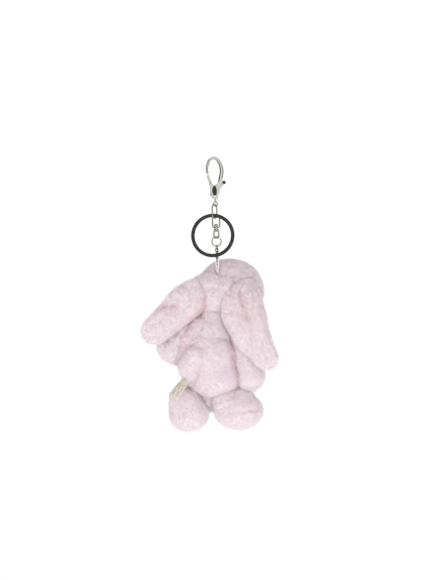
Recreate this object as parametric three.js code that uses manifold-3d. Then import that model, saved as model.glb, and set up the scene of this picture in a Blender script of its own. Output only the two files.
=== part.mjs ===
// Plush rabbit keychain, hanging from its swivel clasp: clasp, links, flat split ring, swivel, chain, cord
// loop and the stuffed rabbit, seen from behind along +Y. Millimetres, +Z up, origin at the top of the hook's
// inside, where the keychain hangs.
import * as THREE from "three";
import Module from "manifold-3d";
import { mergeVertices } from "three/addons/utils/BufferGeometryUtils.js";
import { ConvexGeometry } from "three/addons/geometries/ConvexGeometry.js";

const wasm = await Module();
wasm.setup();

// Clearances.
const FIT = 0.3; // between pieces that turn or sit in each other
const SLACK = 0.2; // between a hanging ring and the wire that carries it

// Clasp: a sprung hook in the XZ plane, with a forked body.
const CLASP_THICK = 3.2;
const HOOK_TOP_WIDTH = 2.1;
const SLOT_WIDTH = 1.6;
const CLASP_BASE = -27.3;
const BASE_WIDTH = 3.6;
const PIN_RADIUS = 0.6;
const PIVOT = [-2.2, -24.2];
const GATE_THICK = 2.6;
const LEVER_THICK = 0.7;
const SPRING_WIRE = 0.2;

// Swivel eye under the clasp, and the long link that it carries.
const STEM_RADIUS = 0.5;
const STEM_HEAD_RADIUS = 1.0;
const STEM_HEAD_HEIGHT = 0.5;
const EYE_NECK = 1.4;
const EYE_RADIUS = 1.55;
const EYE_WIRE = 0.8;
const EYE_YAW = -35;
const LINK_LENGTH = 9.3;
const LINK_INNER_WIDTH = 4.4;
const LINK_WIRE = 1.0;
const LINK_YAW = 55;

// Flat split ring of two turns.
const SPLIT_RING_DIAMETER = 30;
const SPLIT_RING_BAND = 2.4;
const SPLIT_RING_TURN = 0.7;
const SPLIT_RING_YAW = -8;
const SPLIT_RING_LEAN = 3.5;

// Lower swivel: two frames held back to back by a rivet.
const TOP_FRAME_WIDTH = 6.1;
const TOP_FRAME_HEIGHT = 8.95;
const TOP_FRAME_WIRE = 1.2;
const TOP_FRAME_YAW = -10;
const LOW_FRAME_WIDTH = 6.0;
const LOW_FRAME_HEIGHT = 6.95;
const LOW_FRAME_WIRE = 1.1;
const LOW_FRAME_YAW = 50;
const RIVET_RADIUS = 0.6;
const RIVET_HEAD = 0.8;

// Jump ring and the short cable chain.
const JUMP_RING_DIAMETER = 7.5;
const JUMP_RING_WIRE = 0.8;
const JUMP_RING_YAW = -20;
const CHAIN_LINKS = 5;
const CHAIN_LINK_LENGTH = 3.6;
const CHAIN_LINK_WIDTH = 2.4;
const CHAIN_WIRE = 0.7;
const CHAIN_YAW = 60;

// Cord loop sewn to the back of the head.
const CORD = 0.9;
const CORD_DROP = 7.4;
const KNOT_RADIUS = 1.6;

// Rabbit: skins of fur fabric over soft filling.
const SKIN = 1.2;
const HEAD_RADII = [23.6, 20, 22];
const HEAD_HANG = [-0.35, -0.71, 0.61]; // where the cord is sewn, on the head's unit ball
const BELLY_RADII = [19.5, 15.5, 20];
const SHOULDER_RADII = [11, 10, 8];
const EAR_THICK = 8;
const ARM_ROOT_RADIUS = 6;
const HAND_RADIUS = 7.8;
const LEG_ROOT_RADIUS = 6;
const FOOT_LEFT_RADII = [13.2, 12.5, 12.9];
const FOOT_RIGHT_RADII = [17, 12.5, 12.4];
const TAIL_RADII = [8.5, 6.5, 10.5];
const EYE_DOME_RADIUS = 2.4;
const EYE_STEM_RADIUS = 0.8;
const WASHER_RADIUS = 3.2;
const LABEL_LENGTH = 14;
const LABEL_WIDTH = 10;
const LABEL_RIBBON = 0.4;

const rad = THREE.MathUtils.degToRad;
const vec = (p) => new THREE.Vector3(...p);

// A closed solid from a geometry, and the geometry of a solid.
const solid = (geometry) => {
  const bare = geometry.clone();
  bare.deleteAttribute("normal");
  bare.deleteAttribute("uv");
  const merged = mergeVertices(bare, 1e-4);
  const mesh = new wasm.Mesh({
    numProp: 3,
    vertProperties: merged.attributes.position.array,
    triVerts: new Uint32Array(merged.index.array),
  });
  return new wasm.Manifold(mesh);
};
const shape = (made) => {
  const mesh = made.getMesh();
  const geometry = new THREE.BufferGeometry();
  geometry.setAttribute("position", new THREE.BufferAttribute(mesh.vertProperties, 3));
  geometry.setIndex(new THREE.BufferAttribute(mesh.triVerts, 1));
  return geometry;
};
const moved = (geometry, at = [0, 0, 0], turn = [0, 0, 0]) => {
  const euler = new THREE.Euler(...turn.map(rad), "ZYX");
  const quaternion = new THREE.Quaternion().setFromEuler(euler);
  return geometry
    .clone()
    .applyMatrix4(new THREE.Matrix4().compose(vec(at), quaternion, new THREE.Vector3(1, 1, 1)));
};

// A plate in the XZ plane, centred on Y = middle.
const plate = (points, thick, middle = 0, bevel = 0) => {
  const outline = new THREE.Shape(points.map(([x, z]) => new THREE.Vector2(x, z)));
  const geometry = new THREE.ExtrudeGeometry(outline, {
    depth: thick - 2 * bevel,
    bevelEnabled: bevel > 0,
    bevelSize: bevel,
    bevelOffset: -bevel,
    bevelThickness: bevel,
    bevelSegments: 1,
  });
  geometry.translate(0, 0, -(thick - 2 * bevel) / 2);
  return moved(geometry.rotateX(Math.PI / 2), [0, middle, 0]);
};
// The outline of a bar that follows a curve, with its own width at each point.
const barOutline = (points, widths, steps) => {
  const curve = new THREE.SplineCurve(points.map(([x, z]) => new THREE.Vector2(x, z)));
  const sides = [[], []];
  for (let i = 0; i <= steps; i += 1) {
    const t = i / steps;
    const at = curve.getPoint(t);
    const along = curve.getTangent(t);
    const k = Math.min(Math.floor(t * (widths.length - 1)), widths.length - 2);
    const half = THREE.MathUtils.lerp(widths[k], widths[k + 1], t * (widths.length - 1) - k) / 2;
    sides[0].push([at.x - along.y * half, at.y + along.x * half]);
    sides[1].unshift([at.x + along.y * half, at.y - along.x * half]);
  }
  return [...sides[0], ...sides[1]];
};
// A round bar standing on Z, from low to high.
const bar = (radius, low, high, at = [0, 0], sides = 20) =>
  moved(
    new THREE.CylinderGeometry(radius, radius, high - low, sides).rotateX(Math.PI / 2),
    [at[0], at[1], (low + high) / 2],
  );
// A wire bent to a closed rounded rectangle in the XZ plane, by its centre line.
const wireFrame = (width, height, corner, wire, around = 20, sides = 8) => {
  const geometry = new THREE.TorusGeometry(corner, wire / 2, sides, around);
  geometry.rotateZ(Math.PI / around).rotateX(Math.PI / 2);
  const position = geometry.attributes.position;
  for (let i = 0; i < position.count; i += 1) {
    const x = position.getX(i);
    const z = position.getZ(i);
    position.setX(i, x + Math.sign(x) * (width / 2 - corner));
    position.setZ(i, z + Math.sign(z) * (height / 2 - corner));
  }
  return geometry;
};
// A flat strip wound around Y as a coil.
const coil = (radius, band, thick, pitch, turns, steps) => {
  const geometry = new THREE.BoxGeometry(turns, thick, band, steps, 1, 1);
  const position = geometry.attributes.position;
  for (let i = 0; i < position.count; i += 1) {
    const turn = position.getX(i);
    const out = radius - position.getZ(i);
    const angle = turn * 2 * Math.PI;
    position.setXYZ(i, out * Math.cos(angle), position.getY(i) + turn * pitch, out * Math.sin(angle));
  }
  return geometry;
};
// A round cord along a curve.
const cord = (points, radius, steps) => {
  const ring = Array.from({ length: 6 }, (_, i) => rad(i * 60));
  const section = new THREE.Shape(
    ring.map((a) => new THREE.Vector2(radius * Math.cos(a), radius * Math.sin(a))),
  );
  const path = new THREE.CatmullRomCurve3(points.map(vec));
  return new THREE.ExtrudeGeometry(section, { steps, bevelEnabled: false, extrudePath: path });
};
// Soft pieces: a chain of balls, each pair joined by its convex hull, made smaller by an inset.
const ball = (at, radii) => ({ at, radii: Array.isArray(radii) ? radii : [radii, radii, radii] });
const hull = (balls, inset, fine) => {
  const points = [];
  for (const { at, radii } of balls) {
    const sphere = new THREE.SphereGeometry(1, fine, Math.round(fine * 0.6));
    sphere.scale(...radii.map((r) => r - inset)).translate(...at);
    const position = sphere.attributes.position;
    for (let i = 0; i < position.count; i += 1)
      points.push(new THREE.Vector3().fromBufferAttribute(position, i));
  }
  return solid(new ConvexGeometry(points));
};
const soft = (balls, inset = 0, fine = 16) => {
  let made = hull(balls.slice(0, 2), inset, fine);
  for (let i = 1; i + 1 < balls.length; i += 1)
    made = made.add(hull(balls.slice(i, i + 2), inset, fine));
  return made;
};

const group = new THREE.Group();
const colours = {
  nickel: [0xb8b2a8, 0.28, 1],
  darkNickel: [0x6f6a64, 0.3, 1],
  fur: [0xf2dfe3, 0.95, 0],
  lining: [0xf3d2da, 0.95, 0],
  filling: [0xf4f2ee, 1, 0],
  cord: [0xf3e3e4, 0.9, 0],
  bead: [0x1c1a1b, 0.2, 0],
  washer: [0xdadada, 0.5, 0],
  thread: [0xc98f97, 0.9, 0],
  label: [0xe9dcc3, 0.85, 0],
};
const add = (name, made, colour) => {
  const [color, roughness, metalness] = colours[colour];
  const geometry = made.isBufferGeometry ? made : shape(made);
  const mesh = new THREE.Mesh(
    geometry,
    new THREE.MeshStandardMaterial({ color, roughness, metalness, flatShading: true }),
  );
  mesh.name = name;
  group.add(mesh);
  return mesh;
};

// Clasp body: hook, forked cheeks, slot, pin hole and the bored base.
const hook = barOutline(
  [[3.3, -16.6], [4.1, -12.5], [4.85, -8.4], [4.3, -4.2], [2.3, -0.5], [-0.2, HOOK_TOP_WIDTH / 2],
    [-3.0, 0.0], [-4.7, -3.4], [-5.25, -6.9], [-4.75, -9.9]],
  [2.4, 2.6, 2.6, 2.5, 2.3, HOOK_TOP_WIDTH, 1.9, 1.6, 1.5, 1.4],
  20,
);
const halfBase = BASE_WIDTH / 2;
const cheeks = [[halfBase, CLASP_BASE], [1.9, -24.9], [2.7, -22], [3.6, -19.4], [4.3, -17.8], [4.6, -14.6],
  [2.6, -14.2], [1.4, -16.4], [0.8, -18.6], [0.5, -22], [-1.2, -22.6], [-3.1, -22.7], [-3.9, -23.6],
  [-3.9, -25.0], [-2.9, -26.4], [-halfBase, CLASP_BASE]];
const slot = [[-4.6, -22.0], [-4.6, -25.9], [2.5, -25.9], [8, -24.6], [8, -12.4], [0.8, -19.2]];
const acrossY = (radius, at, length, middle = 0, sides = 16) =>
  moved(new THREE.CylinderGeometry(radius, radius, length, sides), [at[0], middle, at[1]]);
const ledge = CLASP_BASE + 0.6;
const claspBody = solid(plate(hook, CLASP_THICK, 0, 0.5))
  .add(solid(plate(cheeks, CLASP_THICK, 0, 0.3)))
  .subtract(solid(plate(slot, SLOT_WIDTH)))
  .subtract(solid(acrossY(PIN_RADIUS + FIT, PIVOT, CLASP_THICK + 2)))
  .subtract(solid(bar(STEM_RADIUS + FIT, CLASP_BASE - 1, ledge + 1)))
  .subtract(solid(bar(STEM_HEAD_RADIUS + FIT, ledge, -25.4)));
add("clasp_body", claspBody, "nickel");

// Gate: arm and thumb lever in one, on the pin; the sprung coil beside the lever.
const arm = [[-3.4, -21.9], [-3.9, -18.4], [-4.9, -14.4], [-5.45, -10.35], [-3.95, -10.35], [-3.2, -14.5],
  [-2.3, -18.0], [-1.9, -21.9]];
const armRoot = [[-3.4, -21.5], [-3.6, -24.2], [-2.2, -25.6], [-0.8, -24.2], [-1.9, -21.5]];
const lever = [[-2.9, -23.4], [5.5, -15.3], [6.9, -16.6], [-1.4, -24.9]];
const thumb = [[5.15, -15.75], [6.05, -14.85], [7.05, -15.5], [7.2, -16.4], [6.35, -17.0]];
const leverMiddle = -0.25;
const gate = solid(plate(arm, GATE_THICK, 0, 0.3))
  .add(solid(plate(armRoot, LEVER_THICK, leverMiddle)))
  .add(solid(plate(lever, LEVER_THICK, leverMiddle)))
  .add(solid(plate(thumb, GATE_THICK - 0.2, 0, 0.25)))
  .subtract(solid(acrossY(PIN_RADIUS + FIT, PIVOT, LEVER_THICK + 2)));
add("clasp_gate", gate, "nickel");
add("gate_pin", acrossY(PIN_RADIUS, PIVOT, CLASP_THICK + 0.4, 0, 14), "nickel");
const springMiddle = (leverMiddle + LEVER_THICK / 2 + SLOT_WIDTH / 2) / 2;
add(
  "gate_spring",
  moved(coil(PIN_RADIUS + 0.5, SPRING_WIRE, 0.12, 0.16, 2, 24), [PIVOT[0], springMiddle, PIVOT[1]]),
  "nickel",
);

// Swivel eye: a headed stem in the base and a ring below it.
const eyeZ = CLASP_BASE - EYE_NECK - EYE_RADIUS - EYE_WIRE / 2;
const eyeRing = moved(
  new THREE.TorusGeometry(EYE_RADIUS, EYE_WIRE / 2, 8, 18).rotateX(Math.PI / 2),
  [0, 0, eyeZ],
);
const headLow = ledge + SLACK;
const swivelEye = solid(eyeRing)
  .add(solid(bar(STEM_RADIUS, eyeZ + EYE_RADIUS, headLow + 0.1, [0, 0], 12)))
  .add(solid(bar(STEM_HEAD_RADIUS, headLow, headLow + STEM_HEAD_HEIGHT, [0, 0], 16)));
add("swivel_eye", swivelEye, "nickel").rotation.z = rad(EYE_YAW);

// Long link. The eye crosses it on one side, so that the ring and the swivel fit side by side below.
const linkTop = eyeZ - EYE_RADIUS + EYE_WIRE / 2 + FIT + LINK_WIRE / 2;
const linkBottom = linkTop - LINK_LENGTH;
const linkWidth = LINK_INNER_WIDTH + LINK_WIRE;
const linkShift = LINK_INNER_WIDTH / 2 - SLACK - TOP_FRAME_WIRE / 2;
const linkAlong = [Math.cos(rad(LINK_YAW)), Math.sin(rad(LINK_YAW))];
const link = moved(
  wireFrame(linkWidth, LINK_LENGTH, 1.5, LINK_WIRE, 16, 8),
  [-linkShift * linkAlong[0], -linkShift * linkAlong[1], (linkTop + linkBottom) / 2],
  [0, 0, LINK_YAW],
);
add("oval_link", link, "nickel");
const carry = linkBottom + LINK_WIRE / 2 + SLACK; // what the long link carries sits on this height

// Split ring: it hangs in front of the swivel in the same link.
const ringThick = 2 * SPLIT_RING_TURN + 0.1;
const ringPlace = -linkShift - (ringThick + TOP_FRAME_WIRE) / 2 + linkShift - 0.65;
const ringMiddle = SPLIT_RING_DIAMETER / 2 - SPLIT_RING_BAND / 2;
const ringCross = [ringPlace * linkAlong[0], ringPlace * linkAlong[1], carry + SPLIT_RING_BAND / 2];
const splitRing = new THREE.Group();
splitRing.position.set(...ringCross);
splitRing.rotation.set(rad(-SPLIT_RING_LEAN), 0, rad(SPLIT_RING_YAW), "ZYX");
const splitCoil = coil(ringMiddle, SPLIT_RING_BAND, SPLIT_RING_TURN, SPLIT_RING_TURN + 0.08, 2, 72);
const splitMesh = add("split_ring", moved(splitCoil.rotateY(rad(60)), [-1.25, 0, -ringMiddle]), "darkNickel");
splitRing.add(splitMesh);
group.add(splitRing);

// Lower swivel: upper frame, rivet and lower frame.
const frameBoss = (wire) => wire / 2 + RIVET_RADIUS + FIT + 0.2;
const frame = (width, height, wire, top, bossAtTop) => {
  const boss = bossAtTop ? top - wire : top - height;
  return solid(
    moved(wireFrame(width - wire, height - wire, 1.1, wire, 12, 8), [0, 0, top - height / 2]),
  )
    .add(solid(bar(frameBoss(wire), boss, boss + wire, [0, 0], 18)))
    .subtract(solid(bar(RIVET_RADIUS + FIT, boss - 1, boss + wire + 1, [0, 0], 16)));
};
const topFrameTop = carry + TOP_FRAME_WIRE;
const topFrameBottom = topFrameTop - TOP_FRAME_HEIGHT;
const topFrame = frame(TOP_FRAME_WIDTH, TOP_FRAME_HEIGHT, TOP_FRAME_WIRE, topFrameTop, false);
add("swivel_top_frame", topFrame, "nickel").rotation.z = rad(TOP_FRAME_YAW);
const lowFrameTop = topFrameBottom - FIT;
const lowFrameBottom = lowFrameTop - LOW_FRAME_HEIGHT;
const lowFrame = frame(LOW_FRAME_WIDTH, LOW_FRAME_HEIGHT, LOW_FRAME_WIRE, lowFrameTop, true);
add("swivel_low_frame", lowFrame, "nickel").rotation.z = rad(LOW_FRAME_YAW);
const upperHead = topFrameBottom + TOP_FRAME_WIRE + FIT;
const lowerHead = lowFrameTop - LOW_FRAME_WIRE - FIT;
const headRadius = RIVET_RADIUS + FIT + 0.3;
const rivet = solid(bar(RIVET_RADIUS, lowerHead - 0.1, upperHead + 0.1, [0, 0], 14))
  .add(solid(bar(headRadius, upperHead, upperHead + RIVET_HEAD, [0, 0], 18)))
  .add(solid(bar(headRadius, lowerHead - RIVET_HEAD, lowerHead, [0, 0], 18)));
add("swivel_rivet", rivet, "nickel");

// Jump ring and cable chain.
const jumpRadius = (JUMP_RING_DIAMETER - JUMP_RING_WIRE) / 2;
const jumpTop = lowFrameBottom + LOW_FRAME_WIRE + SLACK + JUMP_RING_WIRE / 2;
const jumpRing = new THREE.TorusGeometry(jumpRadius, JUMP_RING_WIRE / 2, 8, 20).rotateX(Math.PI / 2);
const jump = add("jump_ring", jumpRing, "nickel");
jump.position.z = jumpTop - jumpRadius;
jump.rotation.z = rad(JUMP_RING_YAW);
const linkLine = CHAIN_LINK_LENGTH - CHAIN_WIRE;
const linkAcross = CHAIN_LINK_WIDTH - CHAIN_WIRE;
let chainTop = jumpTop - 2 * jumpRadius + JUMP_RING_WIRE / 2 + SLACK / 2 + CHAIN_WIRE / 2;
for (let i = 0; i < CHAIN_LINKS; i += 1) {
  const piece = add(
    `chain_link_${i + 1}`,
    wireFrame(linkAcross, linkLine, linkAcross / 2 - 0.01, CHAIN_WIRE, 12, 6),
    "nickel",
  );
  piece.position.z = chainTop - linkLine / 2;
  piece.rotation.z = rad(i % 2 ? CHAIN_YAW - 90 : CHAIN_YAW);
  chainTop -= linkLine - CHAIN_WIRE - SLACK / 2;
}
const chainEnd = chainTop - SLACK / 2 - CHAIN_WIRE; // the centre of the last link's lowest wire

// Cord loop through the last link, knotted inside the head.
const loopTop = chainEnd + CHAIN_WIRE / 2 + SLACK / 2 + CORD / 2;
const loopHalf = CHAIN_WIRE / 2 + SLACK + CORD / 2;
const sewn = [0, 0, loopTop - CORD_DROP - CORD / 2];
const knot = [0, 2.0, sewn[2] - 3.6];
const strand = (side) => [
  [side * 0.55, 1.6, sewn[2] - 3],
  [side * 0.6, 0.2, sewn[2]],
  [side * loopHalf, 0, loopTop - 3.4],
  [side * loopHalf, 0, loopTop - 1.1],
];
const loopCurve = [...strand(-1), [0, 0, loopTop], ...strand(1).reverse()];
const loopYaw = rad(CHAIN_LINKS % 2 ? CHAIN_YAW - 90 : CHAIN_YAW);
const loopCord = solid(cord(loopCurve, CORD / 2, 32)).rotate([0, 0, THREE.MathUtils.radToDeg(loopYaw)]);
const knotBall = solid(moved(new THREE.SphereGeometry(KNOT_RADIUS, 14, 9), knot));
add("hanging_loop", loopCord.add(knotBall), "cord");

// Head: it hangs from the sewn point.
const headAt = sewn.map((v, i) => v - HEAD_HANG[i] * HEAD_RADII[i]);
const from = (at, ...offset) => at.map((v, i) => v + offset[i]);
const headBall = (inset, fine = 18) => {
  const sphere = new THREE.SphereGeometry(1, fine, Math.round(fine * 0.6));
  sphere.scale(...HEAD_RADII.map((r) => r - inset)).translate(...headAt);
  return solid(sphere);
};
// The point of the head's surface in a direction, and the outward normal there.
const onHead = (direction) => {
  const unit = vec(direction).normalize();
  const at = unit.clone().multiply(vec(HEAD_RADII));
  const normal = unit.clone().divide(vec(HEAD_RADII)).normalize();
  return { at: at.add(vec(headAt)), normal };
};
const along = (geometry, { at, normal }) => {
  const turn = new THREE.Quaternion().setFromUnitVectors(new THREE.Vector3(0, 1, 0), normal);
  return geometry.clone().applyMatrix4(new THREE.Matrix4().compose(at, turn, new THREE.Vector3(1, 1, 1)));
};
const lathe = (profile, sides) =>
  new THREE.LatheGeometry(profile.map(([x, y]) => new THREE.Vector2(x, y)), sides);
const eyeStem = SKIN + 3;
const eyeProfile = [[0, -eyeStem], [EYE_STEM_RADIUS, -eyeStem], [EYE_STEM_RADIUS, FIT],
  [EYE_DOME_RADIUS, FIT], [EYE_DOME_RADIUS * 0.9, FIT + 1], [EYE_DOME_RADIUS * 0.55, FIT + 1.7], [0, FIT + 2]];
const washerTop = -SKIN - 0.8;
const washerProfile = [[EYE_STEM_RADIUS + 0.2, washerTop - 0.8], [WASHER_RADIUS, washerTop - 0.8],
  [WASHER_RADIUS, washerTop], [EYE_STEM_RADIUS + 0.2, washerTop], [EYE_STEM_RADIUS + 0.2, washerTop - 0.8]];
const eyeHole = new THREE.CylinderGeometry(EYE_STEM_RADIUS + FIT, EYE_STEM_RADIUS + FIT, 8, 14);
const eyePocket = new THREE.CylinderGeometry(WASHER_RADIUS + FIT, WASHER_RADIUS + FIT, 9, 18);
const seats = { left: onHead([-0.42, 0.9, 0.02]), right: onHead([0.42, 0.9, 0.02]) };
const neckAxis = [headAt[0] - 4.8, headAt[1] - 9.4];
const neck = bar(SHOULDER_RADII[0] * 0.55, headAt[2] - HEAD_RADII[2] - 2, headAt[2] - 12, neckAxis, 16);
let headCover = headBall(0).subtract(headBall(SKIN)).subtract(solid(neck));
headCover = headCover.subtract(
  solid(moved(new THREE.SphereGeometry(KNOT_RADIUS + 0.9, 12, 8), from(sewn, 0, 0.5, -0.4))),
);
let headFilling = headBall(SKIN + FIT).subtract(
  solid(moved(new THREE.SphereGeometry(KNOT_RADIUS + 1.6, 12, 8), from(knot, 0, 0, 0.6))),
);
for (const [side, seat] of Object.entries(seats)) {
  add(`eye_${side}`, along(lathe(eyeProfile, 14), seat), "bead");
  add(`eye_washer_${side}`, along(lathe(washerProfile, 16), seat), "washer");
  headCover = headCover.subtract(solid(along(eyeHole, seat)));
  headFilling = headFilling.subtract(solid(along(eyePocket, seat)));
}
add("head_cover", headCover, "fur");
add("head_filling", headFilling, "filling");
const noseSeat = onHead([0, 0.97, -0.24]);
const noseAt = noseSeat.at.clone().addScaledVector(noseSeat.normal, FIT + 0.9);
add("nose_stitching", along(new THREE.SphereGeometry(1, 14, 8).scale(2.6, 0.8, 1.8),
  { at: noseAt, normal: noseSeat.normal }), "thread");

// Body: shoulders and belly, seated under the head.
const shoulderAt = from(headAt, -5.2, -10, -(HEAD_RADII[2] + 1.6));
const bellyAt = from(headAt, -16.2, -19.2, -(HEAD_RADII[2] + BELLY_RADII[2] + 4.6));
const trunk = [ball(shoulderAt, SHOULDER_RADII), ball(bellyAt, BELLY_RADII)];
const bodyOuter = soft(trunk, 0, 16).subtract(headBall(-FIT));
const bodyInner = soft(trunk, SKIN, 16).subtract(headBall(-FIT + 0.05));
add("body_cover", bodyOuter.subtract(bodyInner), "fur");
add("body_filling", soft(trunk, SKIN + FIT, 16).subtract(headBall(-2 * FIT)), "filling");
const trunkRoom = soft(trunk, -FIT, 16);

// Tail: sewn on the back, a little to the left.
const tailAt = from(bellyAt, -9.5, -(BELLY_RADII[1] * 0.88 + 0.6), -0.5);
const tail = [ball(tailAt, TAIL_RADII), ball(from(tailAt, 1, 1, 1), TAIL_RADII)];
const tailInner = soft(tail, SKIN, 12).subtract(soft(trunk, -FIT + 0.05, 16));
add("tail_cover", soft(tail, 0, 12).subtract(trunkRoom).subtract(tailInner), "fur");
add("tail_filling", soft(tail, SKIN + FIT, 12).subtract(soft(trunk, -2 * FIT, 16)), "filling");

// Ears: a back panel and a lining, sewn flat together. Each lies along a spine from its root, whose middle
// number is how far it stands behind the head.
const earPanel = (spine, halfWidths, middle, shrink) => {
  const geometry = new THREE.BoxGeometry(1, 1, 1, 12, 4, 1);
  const curve = new THREE.CatmullRomCurve3(spine.map(vec));
  const position = geometry.attributes.position;
  const thick = (EAR_THICK - FIT) / 2;
  for (let i = 0; i < position.count; i += 1) {
    const t = position.getX(i) + 0.5;
    const span = t * (halfWidths.length - 1);
    const k = Math.min(Math.floor(span), halfWidths.length - 2);
    const half = THREE.MathUtils.lerp(halfWidths[k], halfWidths[k + 1], span - k) - shrink;
    const tangent = curve.getTangent(t);
    const across = tangent.clone().cross(new THREE.Vector3(0, 1, 0)).normalize();
    const normal = tangent.clone().cross(across);
    const at = curve.getPoint(t)
      .addScaledVector(across, 2 * half * position.getY(i))
      .addScaledVector(normal, middle + thick * position.getZ(i));
    position.setXYZ(i, at.x, at.y, at.z);
  }
  return geometry;
};
const ear = (side, spine, halfWidths) => {
  const middle = (EAR_THICK + FIT) / 4;
  const placed = spine.map(([x, behind, z]) => from(headAt, x, behind - HEAD_RADII[1], z));
  add(`ear_${side}_back`, earPanel(placed, halfWidths, middle, 0), "fur");
  add(`ear_${side}_lining`, earPanel(placed, halfWidths, -middle, 0.8), "lining");
};
ear(
  "left",
  [[-15.3, -1.6, 2.4], [-24.7, -2.2, -2.3], [-31.7, -2.7, -7.5], [-40.5, -3.4, -16], [-47.3, -4.2, -22.6],
    [-57.1, -5, -31.6], [-59.8, -5.2, -33.6]],
  [8.5, 11.4, 12.7, 11.5, 9.8, 7, 3.5],
);
ear(
  "right",
  [[5.2, -4.2, -3.6], [8.2, -6, -13.6], [14.4, -9.2, -31.6], [20.4, -10, -40.6], [23.2, -9.6, -46.8],
    [26.7, -9, -54.8]],
  [8, 12.5, 14, 10.2, 7.6, 3.6],
);

// Arms and legs: each a skin, open towards the body, over its filling.
const limb = (name, balls, fine) => {
  const [root, end] = balls;
  const toBody = vec(root.at).sub(vec(end.at)).normalize();
  const mouth = { at: vec(root.at).addScaledVector(toBody, root.radii[0]), normal: toBody };
  const opening = along(new THREE.CylinderGeometry(2.5, 2.5, root.radii[0] * 1.5, 12), mouth);
  const cover = soft(balls, 0, fine).subtract(soft(balls, SKIN, fine)).subtract(solid(opening));
  add(`${name}_cover`, cover, "fur");
  add(`${name}_filling`, soft(balls, SKIN + FIT, fine), "filling");
};
const hand = [HAND_RADIUS, HAND_RADIUS, HAND_RADIUS];
const sideways = BELLY_RADII[0] + ARM_ROOT_RADIUS;
limb("arm_left", [
  ball(from(bellyAt, -(sideways - 4.2), 8.5, 15.6), ARM_ROOT_RADIUS),
  ball(from(bellyAt, -(sideways + 1.2), 10, 7.6), hand),
], 12);
limb("arm_right", [
  ball(from(bellyAt, sideways + 4.6, 7, 13), ARM_ROOT_RADIUS),
  ball(from(bellyAt, sideways + 4.8, 5, -(BELLY_RADII[2] - 6.4)), hand.map((r) => r + 1)),
], 12);
const under = BELLY_RADII[2] + LEG_ROOT_RADIUS;
limb("leg_left", [
  ball(from(bellyAt, -7, 0.5, -under - 0.1), LEG_ROOT_RADIUS),
  ball(from(bellyAt, -13.6, 0, -under - 8.9), FOOT_LEFT_RADII),
], 14);
limb("leg_right", [
  ball(from(bellyAt, 9, 0.5, -under + 0.7), LEG_ROOT_RADIUS),
  ball(from(bellyAt, 19.4, 0, -under - 9.6), FOOT_RIGHT_RADII),
], 14);

// Care label: a folded ribbon from the side seam.
const labelThick = 2 * LABEL_RIBBON + 0.5;
const layer = LABEL_RIBBON;
const fold = [[0, 0], [LABEL_LENGTH, 0], [LABEL_LENGTH, labelThick], [0, labelThick],
  [0, labelThick - layer], [LABEL_LENGTH - layer, labelThick - layer], [LABEL_LENGTH - layer, layer],
  [0, layer]];
const ribbon = plate(fold, LABEL_WIDTH);
const label = add("care_label", ribbon, "label");
label.position.set(...from(bellyAt, -14.6, -12.6, -13.4));
label.rotation.set(rad(58), rad(128), rad(-6), "YXZ");

export default group;
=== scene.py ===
# Plush rabbit keychain hanging from its clasp, seen from behind the rabbit.
import math
import time
import bpy
import bmesh
import numpy as np
from mathutils import Matrix, Vector, noise
from mathutils.bvhtree import BVHTree


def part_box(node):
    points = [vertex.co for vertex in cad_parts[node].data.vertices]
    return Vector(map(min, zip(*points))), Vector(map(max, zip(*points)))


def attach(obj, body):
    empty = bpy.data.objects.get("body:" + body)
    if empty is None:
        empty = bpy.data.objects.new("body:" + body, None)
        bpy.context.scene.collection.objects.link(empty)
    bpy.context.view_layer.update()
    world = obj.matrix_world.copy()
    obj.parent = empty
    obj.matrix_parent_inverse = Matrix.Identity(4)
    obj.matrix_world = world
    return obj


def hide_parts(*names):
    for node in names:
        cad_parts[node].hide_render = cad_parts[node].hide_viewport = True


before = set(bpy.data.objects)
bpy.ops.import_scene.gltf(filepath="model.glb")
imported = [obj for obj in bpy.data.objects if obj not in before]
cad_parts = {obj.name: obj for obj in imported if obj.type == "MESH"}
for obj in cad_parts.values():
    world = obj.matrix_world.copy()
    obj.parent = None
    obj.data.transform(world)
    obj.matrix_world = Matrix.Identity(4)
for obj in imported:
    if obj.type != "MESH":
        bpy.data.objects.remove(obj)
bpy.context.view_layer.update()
mm = 0.001
print("frame loaded:", len(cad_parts), "nodes")


def span(node):
    low, high = (Vector(corner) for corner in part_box(node))
    return low, high, (low + high) / 2


# camera, light and floor
shot = {
    "distance": 1.5, "lens": 135.5, "roll": 1.65, "aim": (-2.07, -89.6),
    "floorHeight": -1.0, "floorRadius": 2.2,
    "skyColour": (1.0, 1.0, 1.0), "skyLight": 0.57, "skySeen": 1.02,
}
lamps = {  # name: place in metres, size, power, colour
    "keyLamp": ((0.22, -1.1, -0.34), 0.9, 6.1, (1.0, 1.0, 1.0)),
    "fillLamp": ((-0.8, -0.9, 0.0), 0.8, 2.4, (1.0, 1.0, 1.0)),
    "lowLamp": ((0.0, -0.7, -0.9), 0.9, 3.2, (1.0, 1.0, 1.0)),
    "backLamp": ((0.2, 1.1, -0.1), 0.8, 7.0, (1.0, 1.0, 1.0)),
}

camData = bpy.data.cameras.new("camera")
camData.lens = shot["lens"]
camera = bpy.data.objects.new("camera", camData)
bpy.context.collection.objects.link(camera)
roll = math.radians(shot["roll"])
camera.matrix_world = Matrix((
    (math.cos(roll), math.sin(roll), 0, shot["aim"][0] * mm),
    (0, 0, -1, -shot["distance"]),
    (-math.sin(roll), math.cos(roll), 0, shot["aim"][1] * mm),
    (0, 0, 0, 1),
))
bpy.context.scene.camera = camera
bpy.context.scene.view_settings.view_transform = "Standard"

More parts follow.
